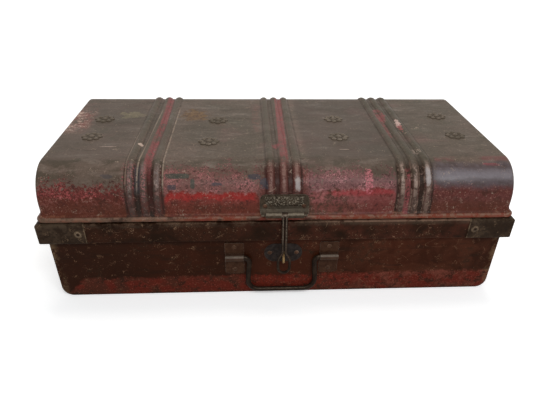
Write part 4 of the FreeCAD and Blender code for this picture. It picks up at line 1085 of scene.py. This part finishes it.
# %% [markdown]
# ## Floor
# A pale floor lets the trunk's own colours read, and keeps its soft shadow. Lamps strong
# enough to turn it white would wash out the trunk, so it adds a little light of its own,
# which only the camera and reflections see, and which grows with the distance.

# %% Floor
def seen_directly(recipe):
    """1 for the camera and in reflections, 0 for light that falls on a piece."""
    rays = ("Is Camera Ray", "Is Glossy Ray", "Is Transmission Ray")
    camera_ray, glossy_ray, through_ray = (recipe.node("ShaderNodeLightPath", out=ray) for ray in rays)
    return camera_ray.most(glossy_ray).most(through_ray)


def floor_white():
    """Pale and plain, and whiter with the distance from the trunk."""
    f = Finish("floor_white")
    from_trunk = (f.x * f.x + f.y * f.y).root()
    lift = seen_directly(f) * (0.42 + 0.50 * from_trunk.rise(600, 2600))
    f.feed(f.shader.inputs["Emission Color"], f.mix((0, 0, 0, 1), (1, 1, 1, 1), lift))
    f.feed(f.shader.inputs["Emission Strength"], 1.0)
    white = f.mix(paint(244, 244, 244), paint(246, 246, 246), f.noise(300))
    return f.finish(white, 0.9, f.noise(2.0) * 0.01, gloss=0.1)


reach = 6.0
corners = [(-reach, -reach, 0), (reach, -reach, 0), (reach, reach, 0), (-reach, reach, 0)]
floor_data = bpy.data.meshes.new("floor")
floor_data.from_pydata(corners, [], [(0, 1, 2, 3)])
floor_data.materials.append(floor_white())
floor = bpy.data.objects.new("floor", floor_data)
bpy.context.scene.collection.objects.link(floor)
floor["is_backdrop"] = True
print("floor of", 2 * reach, "m")


# %% [markdown]
# ## Light
# One wide soft lamp hangs overhead, and a second, like a window, stands high on the right in
# front, where it draws a sheen along the lid's round. Small lamps would draw hard shadows.
# The surround shows white to the camera and in reflections, and gives the pieces themselves
# only a gentle fill.

# %% Lamps and surround
def lamp(name, place, aim, width, height, watts, colour):
    """A soft lamp of width by height metres, hung at a place and aimed at a point."""
    data = bpy.data.lights.new(name, "AREA")
    data.shape = "RECTANGLE"
    data.size = width
    data.size_y = height
    data.energy = watts
    data.color = colour
    made = bpy.data.objects.new(name, data)
    made.location = place
    made.rotation_euler = (Vector(aim) - Vector(place)).to_track_quat("-Z", "Y").to_euler()
    bpy.context.scene.collection.objects.link(made)


lamp("overhead", place=(0.1, 0.6, 1.9), aim=(0, 0, 0.2), width=1.3, height=0.9,
     watts=17, colour=(1.0, 0.97, 0.92))
lamp("window", place=(0.35, -1.55, 1.75), aim=(0.05, -0.15, 0.2), width=1.5, height=0.35,
     watts=20, colour=(0.95, 0.98, 1.0))

fill_strength = 0.35
world = bpy.data.worlds.new("surround")
bpy.context.scene.world = world
world.use_nodes = True
world.node_tree.nodes.clear()
surround = Recipe(world.node_tree)
strength = seen_directly(surround) * (1 - fill_strength) + fill_strength
background = surround.node("ShaderNodeBackground", {}, {"Color": (1, 1, 1, 1), "Strength": strength})
surround.node("ShaderNodeOutputWorld", {}, {"Surface": background})
bpy.context.scene.view_settings.view_transform = "Standard"
print("lamps:", len(bpy.data.lights), "and a surround that fills with", fill_strength)

# %% [markdown]
# ## Sizes at the end
# The finishes change no mesh, so the trunk has to measure the same as when it was loaded. Both
# boxes are taken, and the last line prints how much the whole box changed in size.

# %% Compare the sizes and finish
import json

full_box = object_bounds()
grown = (cad_box[1] - cad_box[0], full_box[1] - full_box[0])
print("size change in mm:", [round((after - before) / MM, 2) for before, after in zip(*grown)])
